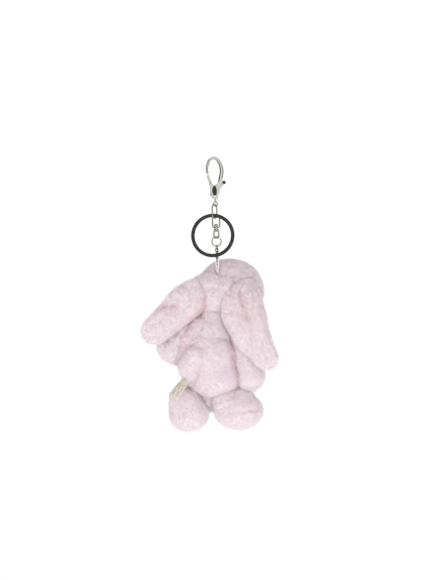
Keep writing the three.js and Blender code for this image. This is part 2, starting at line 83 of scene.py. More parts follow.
for lampName, (place, size, power, colour) in lamps.items():
    lampData = bpy.data.lights.new(lampName, "AREA")
    lampData.shape, lampData.size, lampData.energy, lampData.color = "DISK", size, power, colour
    lamp = bpy.data.objects.new(lampName, lampData)
    lamp.location = place
    lamp.rotation_euler = (Vector((0, 0, -0.1)) - Vector(place)).to_track_quat("-Z", "Y").to_euler()
    lamp.visible_glossy = False  # the metal mirrors the sky alone
    bpy.context.collection.objects.link(lamp)


class Wire:
    # a socket whose operators add Math nodes

    def __init__(self, made, socket):
        self.made, self.socket = made, socket

    def maths(self, operation, *others, flipped=False):
        values = [self, *others]
        if flipped:
            values.reverse()
        return self.made.node("ShaderNodeMath", {"operation": operation}, *values)

    def __add__(self, other):
        return self.maths("ADD", other)

    def __sub__(self, other):
        return self.maths("SUBTRACT", other)

    def __mul__(self, other):
        return self.maths("MULTIPLY", other)

    def __truediv__(self, other):
        return self.maths("DIVIDE", other)

    def __rsub__(self, other):
        return self.maths("SUBTRACT", other, flipped=True)

    __radd__, __rmul__ = __add__, __mul__

    def clamped(self, low=0.0, high=1.0):
        return self.made.node("ShaderNodeClamp", {}, self, low, high)

    def over(self, edge, soft=0.02):
        return ((self - edge) / soft).clamped()


class Finish:
    # a material, or the world, being built from nodes

    def __init__(self, name, owner=None):
        self.material = owner or bpy.data.materials.new(name)
        self.material.use_nodes = True
        self.tree = self.material.node_tree
        self.tree.nodes.clear()

    def node(self, kind, settings, *values, output=0, **named):
        made = self.tree.nodes.new(kind)
        for key, value in settings.items():
            setattr(made, key, value)
        pairs = [(made.inputs[i], value) for i, value in enumerate(values)]
        pairs += [(made.inputs[key.replace("_", " ")], value) for key, value in named.items()]
        for socket, value in pairs:
            if isinstance(value, Wire):
                self.tree.links.new(value.socket, socket)
            elif value is not None:
                socket.default_value = value
        return Wire(self, made.outputs[output]) if made.outputs else None

    def place(self):
        return self.node("ShaderNodeTexCoord", {}, output="Object")

    def cloud(self, scale, detail=3.0, rough=0.55, twist=0.0, place=None):
        # a noise of that many features in a metre, from 0 to 1
        return self.node("ShaderNodeTexNoise", {}, Vector=place or self.place(), Scale=scale, Detail=detail,
                         Roughness=rough, Distortion=twist)

    def mixed(self, share, first, second):
        made = self.tree.nodes.new("ShaderNodeMix")
        made.data_type = "RGBA"
        for number, value in ((0, share), (6, first), (7, second)):
            if isinstance(value, Wire):
                self.tree.links.new(value.socket, made.inputs[number])
            else:
                made.inputs[number].default_value = (*value, 1) if isinstance(value, tuple) else value
        return Wire(self, made.outputs[2])

    def attribute(self, name):
        return self.node("ShaderNodeAttribute", {"attribute_name": name}, output="Fac")

    def bump(self, height, depth, strength=1.0):
        return self.node("ShaderNodeBump", {}, Height=height, Distance=depth, Strength=strength)

    def done(self, **named):
        if isinstance(named["Base_Color"], tuple):
            named["Base_Color"] = (*named["Base_Color"], 1)
        shader = self.node("ShaderNodeBsdfPrincipled", {}, **named)
        self.node("ShaderNodeOutputMaterial", {}, shader)
        return self.material


# light from all round, with dark strips that only the metal mirrors
sky = Finish("sky", bpy.data.worlds.new("sky"))
bpy.context.scene.world = sky.material
towards = sky.node("ShaderNodeTexCoord", {}, output="Generated")
sideways = sky.node("ShaderNodeSeparateXYZ", {}, towards)
depthWays = Wire(sky, sideways.socket.node.outputs["Y"])
upWays = Wire(sky, sideways.socket.node.outputs["Z"])
leftDark = (sideways * -1.0).over(0.32, 0.25) * (1 - upWays.maths("ABSOLUTE").over(0.62, 0.2))
rightDark = sideways.over(0.55, 0.25) * (1 - upWays.maths("ABSOLUTE").over(0.62, 0.2))
highLobe = (sideways * 0.62 + depthWays * -0.35 + upWays * 0.70).over(0.93, 0.04)
highDark = upWays.over(0.6, 0.3)
lowDark = (upWays * -1.0).over(0.4, 0.2)
dark = leftDark * 0.88 + rightDark * 0.75 + highLobe * 0.6 + highDark * 0.35 + lowDark * 0.7
dark = dark.clamped(0.0, 0.92)
mirrored = sky.node("ShaderNodeLightPath", {}, output="Is Glossy Ray")
seen = sky.node("ShaderNodeLightPath", {}, output="Is Camera Ray")
strength = (1 - mirrored) * shot["skyLight"] + mirrored * (1 - dark) * 0.9
strength = strength * (1 - seen) + seen * shot["skySeen"]
background = sky.node("ShaderNodeBackground", {}, (*shot["skyColour"], 1), strength)
sky.node("ShaderNodeOutputWorld", {}, background)

floorMaker = Finish("paleFloor")
floorColour = floorMaker.mixed(floorMaker.cloud(3.0), (0.93, 0.93, 0.93), (0.96, 0.96, 0.96))
paleFloor = floorMaker.done(Base_Color=floorColour, Roughness=0.9)
bpy.ops.mesh.primitive_circle_add(vertices=96, radius=shot["floorRadius"], fill_type="NGON",
                                  location=(0, 0, shot["floorHeight"]))
floor = bpy.context.object
floor.name = "floor"
floor.data.materials.append(paleFloor)
print("camera, lamps, sky and floor made")


def furSkinFinish(name, pale, deep, crease):
    made = Finish(name)
    mottle = made.cloud(170, 3, 0.6)
    pile = made.cloud(2600, 2, 0.7)
    nap = made.cloud(600, 2, 0.5, 0.6)
    colour = made.mixed(mottle.over(0.35, 0.4), deep, pale)
    # painted shade: the skin turns pinker where the crease attribute marks creases, seams and meeting places
    colour = made.mixed(made.attribute("crease").clamped() * 0.85, colour, crease)
    height = pile * 0.6 + nap * 0.8
    return made.done(Base_Color=colour, Roughness=(0.86 + pile * 0.12).clamped(),
                     Normal=made.bump(height, 0.0007, 0.8), Sheen_Weight=0.35, Sheen_Roughness=0.5,
                     Subsurface_Weight=0.25, Subsurface_Radius=(0.004, 0.002, 0.002), Subsurface_Scale=1.0,
                     Specular_IOR_Level=0.15)


def hairFinish(name, colour):
    made = Finish(name)
    return made.done(Base_Color=colour, Roughness=0.85, Sheen_Weight=0.25, Specular_IOR_Level=0.15,
                     Subsurface_Weight=0.0)


def metalFinish(name, colour, worn, rough):
    made = Finish(name)
    smear = made.cloud(900, 3, 0.6)
    long = made.node("ShaderNodeVectorMath", {"operation": "MULTIPLY"}, made.place(), (1.0, 1.0, 0.12))
    scratch = made.cloud(14000, 2, 0.6, 0.0, long).over(0.62, 0.06)
    pits = made.cloud(5000, 1, 0.5)
    colourNow = made.mixed(smear.over(0.55, 0.25) * 0.35, colour, worn)
    roughNow = (rough + smear * 0.05 + scratch * 0.04).clamped()
    return made.done(Base_Color=colourNow, Metallic=1.0, Roughness=roughNow,
                     Normal=made.bump(pits * 0.25 + scratch * 0.3, 0.000006, 0.3))


def grainyFinish(name, grain, first, second, rough, depth, strength, **more):
    # grain: features in a metre, detail and so on; rough: lowest roughness and what the grain adds
    made = Finish(name)
    spots = made.cloud(*grain)
    return made.done(Base_Color=made.mixed(spots, first, second), Roughness=rough[0] + spots * rough[1],
                     Normal=made.bump(spots, depth, strength), **more)


def threadFinish(name, plies, twist, first, second, rough, depth, sheen):
    made = Finish(name)
    ply = made.node("ShaderNodeTexWave", {"wave_type": "BANDS", "bands_direction": "DIAGONAL"},
                    Vector=made.place(), Scale=plies, Distortion=twist, output="Fac")
    return made.done(Base_Color=made.mixed(ply, first, second), Roughness=rough,
                     Normal=made.bump(ply, depth, 0.7), Sheen_Weight=sheen)


def ribbonFinish(name):
    # woven tape with rows of printed dashes over part of its length
    made = Finish(name)
    weave, threads, lines = 150, (15, 7.5), 5.0
    where = made.node("ShaderNodeUVMap", {"uv_map": "ribbon"})
    along = made.node("ShaderNodeSeparateXYZ", {}, where)
    across = Wire(made, along.socket.node.outputs["Y"])
    warp = (along * threads[0] * weave).maths("SINE") * 0.5 + 0.5
    weft = (across * threads[1] * weave).maths("SINE") * 0.5 + 0.5
    inRow = (across * lines).maths("FRACT")
    rows = inRow.over(0.42, 0.05) * (1 - inRow.over(0.78, 0.05))
    stretched = made.node("ShaderNodeVectorMath", {"operation": "MULTIPLY"}, where, (26.0, lines, 1.0))
    dashes = made.cloud(1.0, 1, 0.5, 0.0, stretched).over(0.47, 0.05)
    inked = rows * dashes * along.over(0.12, 0.02) * (1 - along.over(0.42, 0.02))
    cloth = made.mixed(warp * weft, (0.84, 0.75, 0.64), (0.96, 0.92, 0.85))
    return made.done(Base_Color=made.mixed(inked * 0.75, cloth, (0.20, 0.13, 0.10)), Roughness=0.75,
                     Normal=made.bump(warp + weft, 0.00006, 0.6), Sheen_Weight=0.2)


finishes = {
    # furSkin: pale and deep random mottle, then the pink painted crease shade
    "furSkin": furSkinFinish("furSkin", (0.94, 0.865, 0.895), (0.93, 0.82, 0.855), (0.95, 0.66, 0.71)),
    "hairPale": hairFinish("hairPale", (0.955, 0.89, 0.92)),
    "hairMid": hairFinish("hairMid", (0.95, 0.865, 0.895)),
    # painted shade: the pinkest tufts, laid only where the skin carries painted crease shade
    "hairCreaseShade": hairFinish("hairCreaseShade", (0.955, 0.75, 0.79)),
    "nickel": metalFinish("nickel", (0.72, 0.685, 0.64), (0.60, 0.565, 0.52), 0.16),
    "wornNickel": metalFinish("wornNickel", (0.60, 0.56, 0.53), (0.42, 0.38, 0.36), 0.2),
    "gunmetal": metalFinish("gunmetal", (0.078, 0.069, 0.065), (0.105, 0.095, 0.088), 0.42),
    "blackBead": grainyFinish("blackBead", (700, 1), (0.012, 0.010, 0.011), (0.02, 0.016, 0.017),
                              (0.08, 0.05), 0.00002, 0.3, Coat_Weight=0.6),
    "washerPlastic": grainyFinish("washerPlastic", (1800, 2), (0.78, 0.78, 0.77), (0.86, 0.86, 0.85),
                                  (0.42, 0.1), 0.00005, 0.5),
    "fibreFilling": grainyFinish("fibreFilling", (900, 4, 0.7, 1.5), (0.86, 0.85, 0.82), (0.95, 0.95, 0.93),
                                 (0.95, 0.0), 0.0006, 0.9),
    "cordThread": threadFinish("cordThread", 900.0, 1.0, (0.90, 0.74, 0.76), (0.97, 0.92, 0.91),
                               0.8, 0.0001, 0.2),
    "noseThread": threadFinish("noseThread", 1500.0, 0.6, (0.58, 0.25, 0.30), (0.72, 0.38, 0.43),
                               0.7, 0.00006, 0.3),
    "ribbonLabel": ribbonFinish("ribbonLabel"),
}
print("finishes made:", len(finishes))


# mesh helpers take millimetres
def meshOf(name, points, faces, *finishNames, closed=True):
    mesh = bpy.data.meshes.new(name)
    mesh.from_pydata([Vector(p) * mm for p in points], [], faces)
    if closed:
        work = bmesh.new()
        work.from_mesh(mesh)
        bmesh.ops.remove_doubles(work, verts=work.verts, dist=1e-7)
        bmesh.ops.recalc_face_normals(work, faces=work.faces)
        work.to_mesh(mesh)
        work.free()
    piece = bpy.data.objects.new(name, mesh)
    bpy.context.collection.objects.link(piece)
    for finishName in finishNames:
        mesh.materials.append(finishes[finishName])
    mesh.shade_smooth()
    return piece


def baked(piece):
    # the piece with its modifiers applied
    graph = bpy.context.evaluated_depsgraph_get()
    old = piece.data
    piece.data = bpy.data.meshes.new_from_object(piece.evaluated_get(graph), preserve_all_data_layers=True,
                                                 depsgraph=graph)
    piece.data.name = piece.name
    piece.modifiers.clear()
    bpy.data.meshes.remove(old)
    return piece


def joined(name, parts):
    parts[0].name = name
    with bpy.context.temp_override(active_object=parts[0], selected_editable_objects=parts):
        bpy.ops.object.join()
    return parts[0]


def ringsToFaces(count, around, loop=False):
    faces = []
    for i in range(count if loop else count - 1):
        for j in range(around):
            a, b = i * around + j, i * around + (j + 1) % around
            c, d = ((i + 1) % count) * around + (j + 1) % around, ((i + 1) % count) * around + j
            faces.append((a, b, c, d))
    if not loop:
        faces.append(tuple(reversed(range(around))))
        faces.append(tuple(range((count - 1) * around, count * around)))
    return faces


def framesAlong(path, loop=False, sideHint=(0, 1, 0)):
    # tangent, side and third direction at each point, carried along without twist
    count = len(path)
    path = [Vector(p) for p in path]
    found = []
    side = Vector(sideHint)
    for i in range(count):
        before = path[i - 1] if (i or loop) else path[i]
        after = path[(i + 1) % count] if (i + 1 < count or loop) else path[i]
        tangent = (after - before).normalized()
        side = (side - tangent * side.dot(tangent)).normalized()
        found.append((path[i], tangent, side, tangent.cross(side)))
    return found


def sweep(name, path, wide, thick, finishName, loop=False, around=20, sideHint=(0, 1, 0), square=2.0):
    # a bar along a path; wide and thick are numbers or lists along it, square rounds its section
    count = len(path)
    points = []
    for i, (at, _, side, third) in enumerate(framesAlong(path, loop, sideHint)):
        w = wide[i] if isinstance(wide, list) else wide
        t = thick[i] if isinstance(thick, list) else thick
        for j in range(around):
            a = 2 * math.pi * j / around
            c, s = math.cos(a), math.sin(a)
            u = math.copysign(abs(c) ** (2 / square), c) * t / 2
            v = math.copysign(abs(s) ** (2 / square), s) * w / 2
            points.append(at + side * u + third * v)
    return meshOf(name, points, ringsToFaces(count, around, loop), finishName)


def turned(points, yaw, at=(0, 0, 0)):
    turn = Matrix.Rotation(math.radians(yaw), 3, "Z")
    return [turn @ Vector(p) + Vector(at) for p in points]


def lathed(name, profile, sides, finishName, at=(0, 0, 0), axis=(0, 0, 1)):
    # profile: (radius, height) pairs from one end of the axis to the other
    turn = Vector((0, 0, 1)).rotation_difference(Vector(axis)).to_matrix()
    points = []
    for radius, height in profile:
        for j in range(sides):
            a = 2 * math.pi * j / sides
            points.append(turn @ Vector((radius * math.cos(a), radius * math.sin(a), height)) + Vector(at))
    return meshOf(name, points, ringsToFaces(len(profile), sides), finishName)


def smoothLine(points, count):
    # Catmull-Rom through the points
    pts = [Vector(p) for p in points]
    pts = [pts[0] * 2 - pts[1], *pts, pts[-1] * 2 - pts[-2]]
    out = []
    spans = len(pts) - 3
    for k in range(count):
        t = k / (count - 1) * spans
        i = min(int(t), spans - 1)
        u = t - i
        p0, p1, p2, p3 = pts[i:i + 4]
        out.append(0.5 * ((2 * p1) + (p2 - p0) * u + (2 * p0 - 5 * p1 + 4 * p2 - p3) * u * u
                          + (3 * p1 - p0 - 3 * p2 + p3) * u ** 3))
    return out


def plateXZ(name, outline, low, high, finishName):
    points = [(x, low, z) for x, z in outline] + [(x, high, z) for x, z in outline]
    count = len(outline)
    faces = [tuple(range(count)), tuple(reversed(range(count, 2 * count)))]
    faces += [(i, (i + 1) % count, count + (i + 1) % count, count + i) for i in range(count)]
    return meshOf(name, points, faces, finishName)


def cast(name, parts, cutters, voxel, smoothing, finishName):
    # one smooth casting from overlapping parts, less the cutters
    body = joined(name, parts)
    remesh = body.modifiers.new("remesh", "REMESH")
    remesh.mode, remesh.voxel_size = "VOXEL", voxel * mm
    baked(body)
    for cutter in cutters:
        cut = body.modifiers.new("cut", "BOOLEAN")
        cut.operation, cut.solver, cut.object = "DIFFERENCE", "EXACT", cutter
        baked(body)
        bpy.data.objects.remove(cutter)
    if cutters:
        again = body.modifiers.new("again", "REMESH")
        again.mode, again.voxel_size = "VOXEL", voxel * mm
        baked(body)
    smooth = body.modifiers.new("smooth", "SMOOTH")
    smooth.factor, smooth.iterations = 0.5, smoothing
    baked(body)
    body.data.materials.clear()
    body.data.materials.append(finishes[finishName])
    body.data.shade_smooth()
    return body


def geometryTree(name, inputs):
    tree = bpy.data.node_groups.new(name, "GeometryNodeTree")
    for inputName, kind in inputs:
        tree.interface.new_socket(inputName, in_out="INPUT", socket_type=kind)
    tree.interface.new_socket("Geometry", in_out="OUTPUT", socket_type="NodeSocketGeometry")
    start, end = tree.nodes.new("NodeGroupInput"), tree.nodes.new("NodeGroupOutput")

    def node(kind, settings, values, output=0):
        made = tree.nodes.new(kind)
        for key, value in settings.items():
            setattr(made, key, value)
        for key, value in values.items():
            socket = made.inputs[key]
            if isinstance(value, bpy.types.NodeSocket):
                tree.links.new(value, socket)
            else:
                socket.default_value = value
        return made.outputs[output]

    return tree, start, end, node


def grown(piece, tree, values):
    # applies the tree to the piece and leaves a plain mesh
    grow = piece.modifiers.new(tree.name, "NODES")
    grow.node_group = tree
    for item in tree.interface.items_tree:
        if item.item_type == "SOCKET" and item.in_out == "INPUT" and item.name in values:
            grow[item.identifier] = values[item.name]
    return baked(piece)


def emptyPiece(name):
    piece = bpy.data.objects.new(name, bpy.data.meshes.new(name))
    bpy.context.collection.objects.link(piece)
    return piece


# one bent and rounded wire, for the links and the swivel's frames
wireLoop, start, end, node = geometryTree("wireLoop", [
    ("Geometry", "NodeSocketGeometry"), ("Width", "NodeSocketFloat"), ("Height", "NodeSocketFloat"),
    ("Corner", "NodeSocketFloat"), ("Wire", "NodeSocketFloat"), ("Yaw", "NodeSocketFloat"),
    ("Middle", "NodeSocketVector"), ("Finish", "NodeSocketMaterial")])
outline = node("GeometryNodeCurvePrimitiveQuadrilateral", {"mode": "RECTANGLE"},
               {"Width": start.outputs["Width"], "Height": start.outputs["Height"]})
rounded = node("GeometryNodeFilletCurve", {"mode": "POLY"},
               {"Curve": outline, "Count": 10, "Radius": start.outputs["Corner"]})
upright = node("GeometryNodeTransform", {}, {"Geometry": rounded, "Rotation": (math.pi / 2, 0, 0)})
turning = node("ShaderNodeCombineXYZ", {}, {"Z": start.outputs["Yaw"]})
placed = node("GeometryNodeTransform", {}, {"Geometry": upright, "Rotation": turning,
                                            "Translation": start.outputs["Middle"]})
even = node("GeometryNodeResampleCurve", {}, {"Curve": placed, "Count": 72})
section = node("GeometryNodeCurvePrimitiveCircle", {}, {"Resolution": 14, "Radius": start.outputs["Wire"]})
tube = node("GeometryNodeCurveToMesh", {}, {"Curve": even, "Profile Curve": section})
smooth = node("GeometryNodeSetShadeSmooth", {}, {"Geometry": tube})
coated = node("GeometryNodeSetMaterial", {}, {"Geometry": smooth, "Material": start.outputs["Finish"]})
whole = node("GeometryNodeRealizeInstances", {}, {"Geometry": coated})
wireLoop.links.new(whole, end.inputs["Geometry"])


def wirePiece(name, width, height, corner, wire, yaw, middle, finishName):
    # width and height are of the wire's centre line
    return grown(emptyPiece(name), wireLoop, {
        "Width": width * mm, "Height": height * mm, "Corner": corner * mm, "Wire": wire / 2 * mm,
        "Yaw": math.radians(yaw), "Middle": [c * mm for c in middle], "Finish": finishes[finishName]})


def fitted(piece, body, slot, *nodes):
    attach(piece, body)
    if nodes:
        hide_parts(*nodes)
    return piece


# clasp body: hook, flared cheeks and base
clasp = {
    "hook": [(3.3, -16.6), (4.1, -12.5), (4.85, -8.4), (4.3, -4.2), (2.3, -0.5), (-0.2, 1.05), (-3.0, 0.0),
             (-4.7, -3.4), (-5.25, -6.9), (-4.75, -9.6)],
    "hookWidth": [2.8, 2.9, 2.8, 2.5, 2.3, 2.1, 1.9, 1.7, 1.6, 1.5],
    "hookThick": [3.2, 3.1, 3.0, 2.8, 2.6, 2.5, 2.5, 2.5, 2.5, 2.4],
    "cheeks": [(1.5, -27.3), (2.0, -25.0), (2.7, -22.5), (3.6, -19.9), (4.3, -18.0), (5.4, -15.2),
               (5.2, -13.0), (3.7, -13.0), (3.0, -14.6), (1.6, -16.6), (-0.35, -17.6), (0.5, -19.2),
               (0.95, -20.8), (0.8, -23.5), (0.3, -25.4), (-0.7, -25.6), (-1.9, -23.0), (-3.2, -22.6),
               (-3.7, -23.3), (-3.4, -24.6), (-2.5, -25.7), (-1.5, -27.3)],
    "slot": [(-4.6, -22.0), (-4.6, -25.9), (2.5, -25.9), (8, -24.6), (8, -12.4), (0.8, -19.2)],
    "collar": [(0.01, -27.3), (1.55, -27.3), (1.75, -26.9), (1.75, -26.2), (1.4, -25.6), (0.01, -25.4)],
    "stemHole": [(0.01, -28), (0.8, -28), (0.8, -25.9), (0.01, -25.8)],
    "pin": [(0.01, -1.85), (0.55, -1.85), (0.8, -1.7), (0.85, -1.6), (0.6, -1.6), (0.6, 1.6), (0.85, 1.6),
            (0.8, 1.7), (0.55, 1.85), (0.01, 1.85)],
    "coil": {"radius": 1.1, "wire": 0.2, "from": 0.3, "points": 44, "turn": 0.3, "rise": 0.0065},
    "thick": 3.2, "slotWidth": 1.6, "voxel": 0.17, "pivot": (-2.2, -24.2), "hookPoints": 60,
}
hookLine = smoothLine([(x, 0, z) for x, z in clasp["hook"]], clasp["hookPoints"])


def spread(values, count):
    return list(np.interp(np.linspace(0, len(values) - 1, count), range(len(values)), values))


hook = sweep("clasp_casting", hookLine, spread(clasp["hookWidth"], clasp["hookPoints"]),
             spread(clasp["hookThick"], clasp["hookPoints"]), "nickel", square=2.5)
cheeks = plateXZ("cheeks", clasp["cheeks"], -clasp["thick"] / 2, clasp["thick"] / 2, "nickel")
collar = lathed("collar", clasp["collar"], 32, "nickel")
claspSlot = plateXZ("slotCutter", clasp["slot"], -clasp["slotWidth"] / 2, clasp["slotWidth"] / 2, "nickel")
stemHole = lathed("stemCutter", clasp["stemHole"], 24, "nickel")
casting = cast("clasp_casting", [hook, cheeks, collar], [claspSlot, stemHole], clasp["voxel"], 5, "nickel")
fitted(casting, "clasp", "nickel", "clasp_body")

pivotX, pivotZ = clasp["pivot"]
pin = lathed("gate_rivet", clasp["pin"], 28, "nickel", (pivotX, 0, pivotZ), (0, 1, 0))
fitted(pin, "clasp", "nickel", "gate_pin")
coil = clasp["coil"]
springLine = [(pivotX + coil["radius"] * math.cos(k * coil["turn"]), coil["from"] + k * coil["rise"],
               pivotZ + coil["radius"] * math.sin(k * coil["turn"])) for k in range(coil["points"])]
spring = sweep("gate_coil", springLine, coil["wire"], coil["wire"], "nickel", around=8)
fitted(spring, "clasp", "nickel", "gate_spring")

# gate: sprung arm, lever and thumb knob
gateShape = {  # plates: from and to in depth, outline
    "arm": ((-1.3, 1.3), [(-3.9, -16.4), (-4.9, -13.0), (-5.5, -10.4), (-3.9, -10.4), (-3.2, -13.0),
                          (-2.6, -14.9), (-3.3, -17.2)]),
    "tongue": ((-0.66, 0.6), [(-3.3, -21.9), (-3.25, -20.3), (-4.0, -16.0), (-4.9, -13.0), (-3.2, -13.0),
                              (-2.1, -16.1), (-0.8, -17.9), (-1.3, -19.0), (-2.0, -21.3), (-2.1, -22.1)]),
    "root": ((-0.6, 0.45), [(-3.4, -21.5), (-3.6, -24.2), (-2.2, -25.6), (-0.8, -24.2), (-1.9, -21.5)]),
    "lever": ((-0.5, 0.2), [(-2.9, -23.4), (5.5, -15.3), (6.9, -16.6), (-1.4, -24.9)]),
    # painted shade: a dark plate between the cheeks that stands in for the shadow in the clasp's slot
    "shadowPlate": ((-0.72, 0.5), [(-0.5, -17.7), (-1.6, -18.9), (-2.3, -21.2), (-2.0, -22.6), (-0.9, -24.8),
                           (0.3, -24.7), (1.1, -23.4), (1.3, -20.8), (0.7, -18.9)]),
    "shadowPlateRounding": 0.25, "voxel": 0.15,
    "knob": (6.3, -15.9), "knobRadius": 1.15, "knobHalf": 1.3,
}


def gatePlate(name, part, finishName):
    (low, high), outline = gateShape[part]
    return plateXZ(name, outline, low, high, finishName)


gateParts = [gatePlate(part, part, "nickel") for part in ("arm", "tongue", "root", "lever")]
gate = cast("gate_arm", gateParts, [], gateShape["voxel"], 4, "nickel")
fitted(gate, "gate", "nickel", "clasp_gate")
knobX, knobZ = gateShape["knob"]
knobSize, knobHalf = gateShape["knobRadius"], gateShape["knobHalf"]
knobProfile = [(0.01, -knobHalf), (knobSize * 0.7, 0.05 - knobHalf), (knobSize, 0.4 - knobHalf),
               (knobSize, knobHalf - 0.4), (knobSize * 0.7, knobHalf - 0.05), (0.01, knobHalf)]
knob = lathed("thumb_knob", knobProfile, 28, "gunmetal", (knobX, 0, knobZ), (0, 1, 0))
fitted(knob, "gate", "dark_nickel")
# painted shade: the gunmetal plate rides with the gate and darkens the slot as its shadow would
shadowPlate = gatePlate("gate_shadow_plate", "shadowPlate", "gunmetal")
rounding = shadowPlate.modifiers.new("rounding", "BEVEL")
rounding.width, rounding.segments, rounding.limit_method = gateShape["shadowPlateRounding"] * mm, 3, "ANGLE"
baked(shadowPlate)
fitted(shadowPlate, "gate", "dark_nickel")
print("clasp made")

# swivel eye: ring, neck and head
eyeRing = {"radius": 1.55, "wire": 0.8, "yaw": -35, "middle": -30.65, "steps": 64,
           "neck": [(0.01, -29.3), (0.55, -29.3), (0.75, -28.9), (0.5, -28.3), (0.5, -27.5), (0.5, -26.3),
                    (1.0, -26.2), (1.0, -25.9), (0.01, -25.75)]}
ring = [(eyeRing["radius"] * math.cos(a), 0, eyeRing["radius"] * math.sin(a))
        for a in (2 * math.pi * k / eyeRing["steps"] for k in range(eyeRing["steps"]))]
swivelRing = sweep("swivel_ring", turned(ring, eyeRing["yaw"], (0, 0, eyeRing["middle"])), eyeRing["wire"],
                   eyeRing["wire"], "nickel", loop=True)
neck = lathed("neck", eyeRing["neck"], 28, "nickel")
fitted(joined("swivel_ring", [swivelRing, neck]), "eye", "nickel", "swivel_eye")

# oval link, the two frames, the jump ring and the chain
links = {  # less: what the link's centre line is shorter than its solid
    "oval_wire": {"width": 5.4, "less": 1.0, "corner": 1.9, "wire": 0.95, "yaw": 55,
                  "middle": (-0.803, -1.147)},
    "upper_frame_wire": {"width": 4.9, "less": 1.2, "corner": 1.5, "wire": 1.05, "yaw": -10},
    "lower_frame_wire": {"width": 4.9, "less": 1.1, "corner": 1.5, "wire": 1.0, "yaw": 50},
    "cable": {"width": 1.7, "less": 0.7, "corner": 0.84, "wire": 0.7, "yaws": (60, -30)},
}
bosses = {"upper_frame_wire": {"outer": 1.7, "hole": 0.8}, "lower_frame_wire": {"outer": 1.65, "hole": 0.8}}
# the jump ring's cut: where it starts and how wide it is, as shares of a turn
jump = {"radius": 3.35, "wire": 0.8, "yaw": -20, "cut": 0.12, "gap": 0.035, "points": 80}


def linkWire(name, solid, values, yaw, finishName):
    low, high, middle = (corner / mm for corner in span(solid))
    return wirePiece(name, values["width"], high.z - low.z - values["less"], values["corner"], values["wire"],
                     yaw, (*values.get("middle", (0, 0)), middle.z), finishName)


def bossRing(outer, hole, low, high):
    edge, rim = 0.15, 0.05
    profile = [(hole, low + rim), (hole + edge, low), (outer - edge, low), (outer, low + edge),
               (outer, high - edge), (outer - edge, high), (hole + edge, high), (hole, high - rim),
               (hole, low + rim)]
    return lathed("boss", profile, 36, "nickel")


longLink = linkWire("oval_wire", "oval_link", links["oval_wire"], links["oval_wire"]["yaw"], "wornNickel")
fitted(longLink, "long_link", "nickel", "oval_link")
for name, solid, body in (("upper_frame_wire", "swivel_top_frame", "top_frame"),
                          ("lower_frame_wire", "swivel_low_frame", "low_frame")):
    wires = linkWire(name, solid, links[name], links[name]["yaw"], "wornNickel")
    low, high, _ = (corner / mm for corner in span(solid))
    tall = links[name]["less"]
    foot = low.z if body == "top_frame" else high.z - tall
    boss = bossRing(bosses[name]["outer"], bosses[name]["hole"], foot, foot + tall)
    fitted(joined(name, [wires, boss]), body, "nickel", solid)
low, high, _ = (corner / mm for corner in span("swivel_rivet"))
rivet = {
    "foot": [(0.01, 0.0), (0.6, 0.05), (1.05, 0.3), (1.2, 0.65), (1.15, 0.8), (0.6, 0.8)],
    "dome": [(0.6, -0.95), (1.0, -0.9), (1.32, -0.55), (1.42, -0.1), (1.34, 0.35), (1.05, 0.72), (0.6, 0.92),
             (0.01, 0.98)],
}
rivetProfile = [(r, low.z + z) for r, z in rivet["foot"]] + [(r, high.z + z) for r, z in rivet["dome"]]
fitted(lathed("swivel_pin", rivetProfile, 36, "nickel"), "top_frame", "nickel", "swivel_rivet")

_, _, middle = (corner / mm for corner in span("jump_ring"))
jumpLine = []
for k in range(jump["points"]):
    share = jump["cut"] + jump["gap"] / 2 + (1 - jump["gap"]) * k / (jump["points"] - 1)
    a = 2 * math.pi * share
    jumpLine.append((jump["radius"] * math.cos(a), 0, jump["radius"] * math.sin(a)))
jumpLine = turned(jumpLine, jump["yaw"], (0, 0, middle.z))
jumpWire = sweep("jump_wire", jumpLine, jump["wire"], jump["wire"], "wornNickel")
fitted(jumpWire, "jump", "nickel", "jump_ring")
for i in range(5):
    isDark = i == 1
    yaw = links["cable"]["yaws"][i % 2]
    small = linkWire(f"cable_link_{i + 1}", f"chain_link_{i + 1}", links["cable"], yaw,
                     "gunmetal" if isDark else "wornNickel")
    fitted(small, f"link_{i + 1}", "dark_nickel" if isDark else "nickel", f"chain_link_{i + 1}")

# split ring: two flat turns
splitRing = {"radius": 13.8, "band": 2.4, "turn": 0.68, "pitch": 0.78, "cross": (-1.147, -1.638, -38.4),
             "lean": 3.5, "yaw": -8, "shift": -1.25, "start": 60, "steps": 144}
seat = (Matrix.Translation(splitRing["cross"]) @ Matrix.Rotation(math.radians(splitRing["yaw"]), 4, "Z")
        @ Matrix.Rotation(math.radians(-splitRing["lean"]), 4, "X")
        @ Matrix.Translation((splitRing["shift"], 0, -splitRing["radius"])))
turns = []
for k in range(2 * splitRing["steps"] + 1):
    share = k / splitRing["steps"]
    # the turns lie flat, and step across in a short bend
    step = min(max((share - 0.94) / 0.12, 0), 1)
    depth = (step * step * (3 - 2 * step) - 0.5) * splitRing["pitch"]
    a = math.radians(splitRing["start"]) + 2 * math.pi * share
    turns.append(seat @ Vector((splitRing["radius"] * math.cos(a), depth, splitRing["radius"] * math.sin(a))))
normal = seat.to_3x3() @ Vector((0, 1, 0))
keyRing = sweep("key_ring_wire", turns, splitRing["band"], splitRing["turn"], "gunmetal", around=28,
                sideHint=normal, square=3.4)
fitted(keyRing, "key_ring", "dark_nickel", "split_ring")
print("rings, links and frames made")

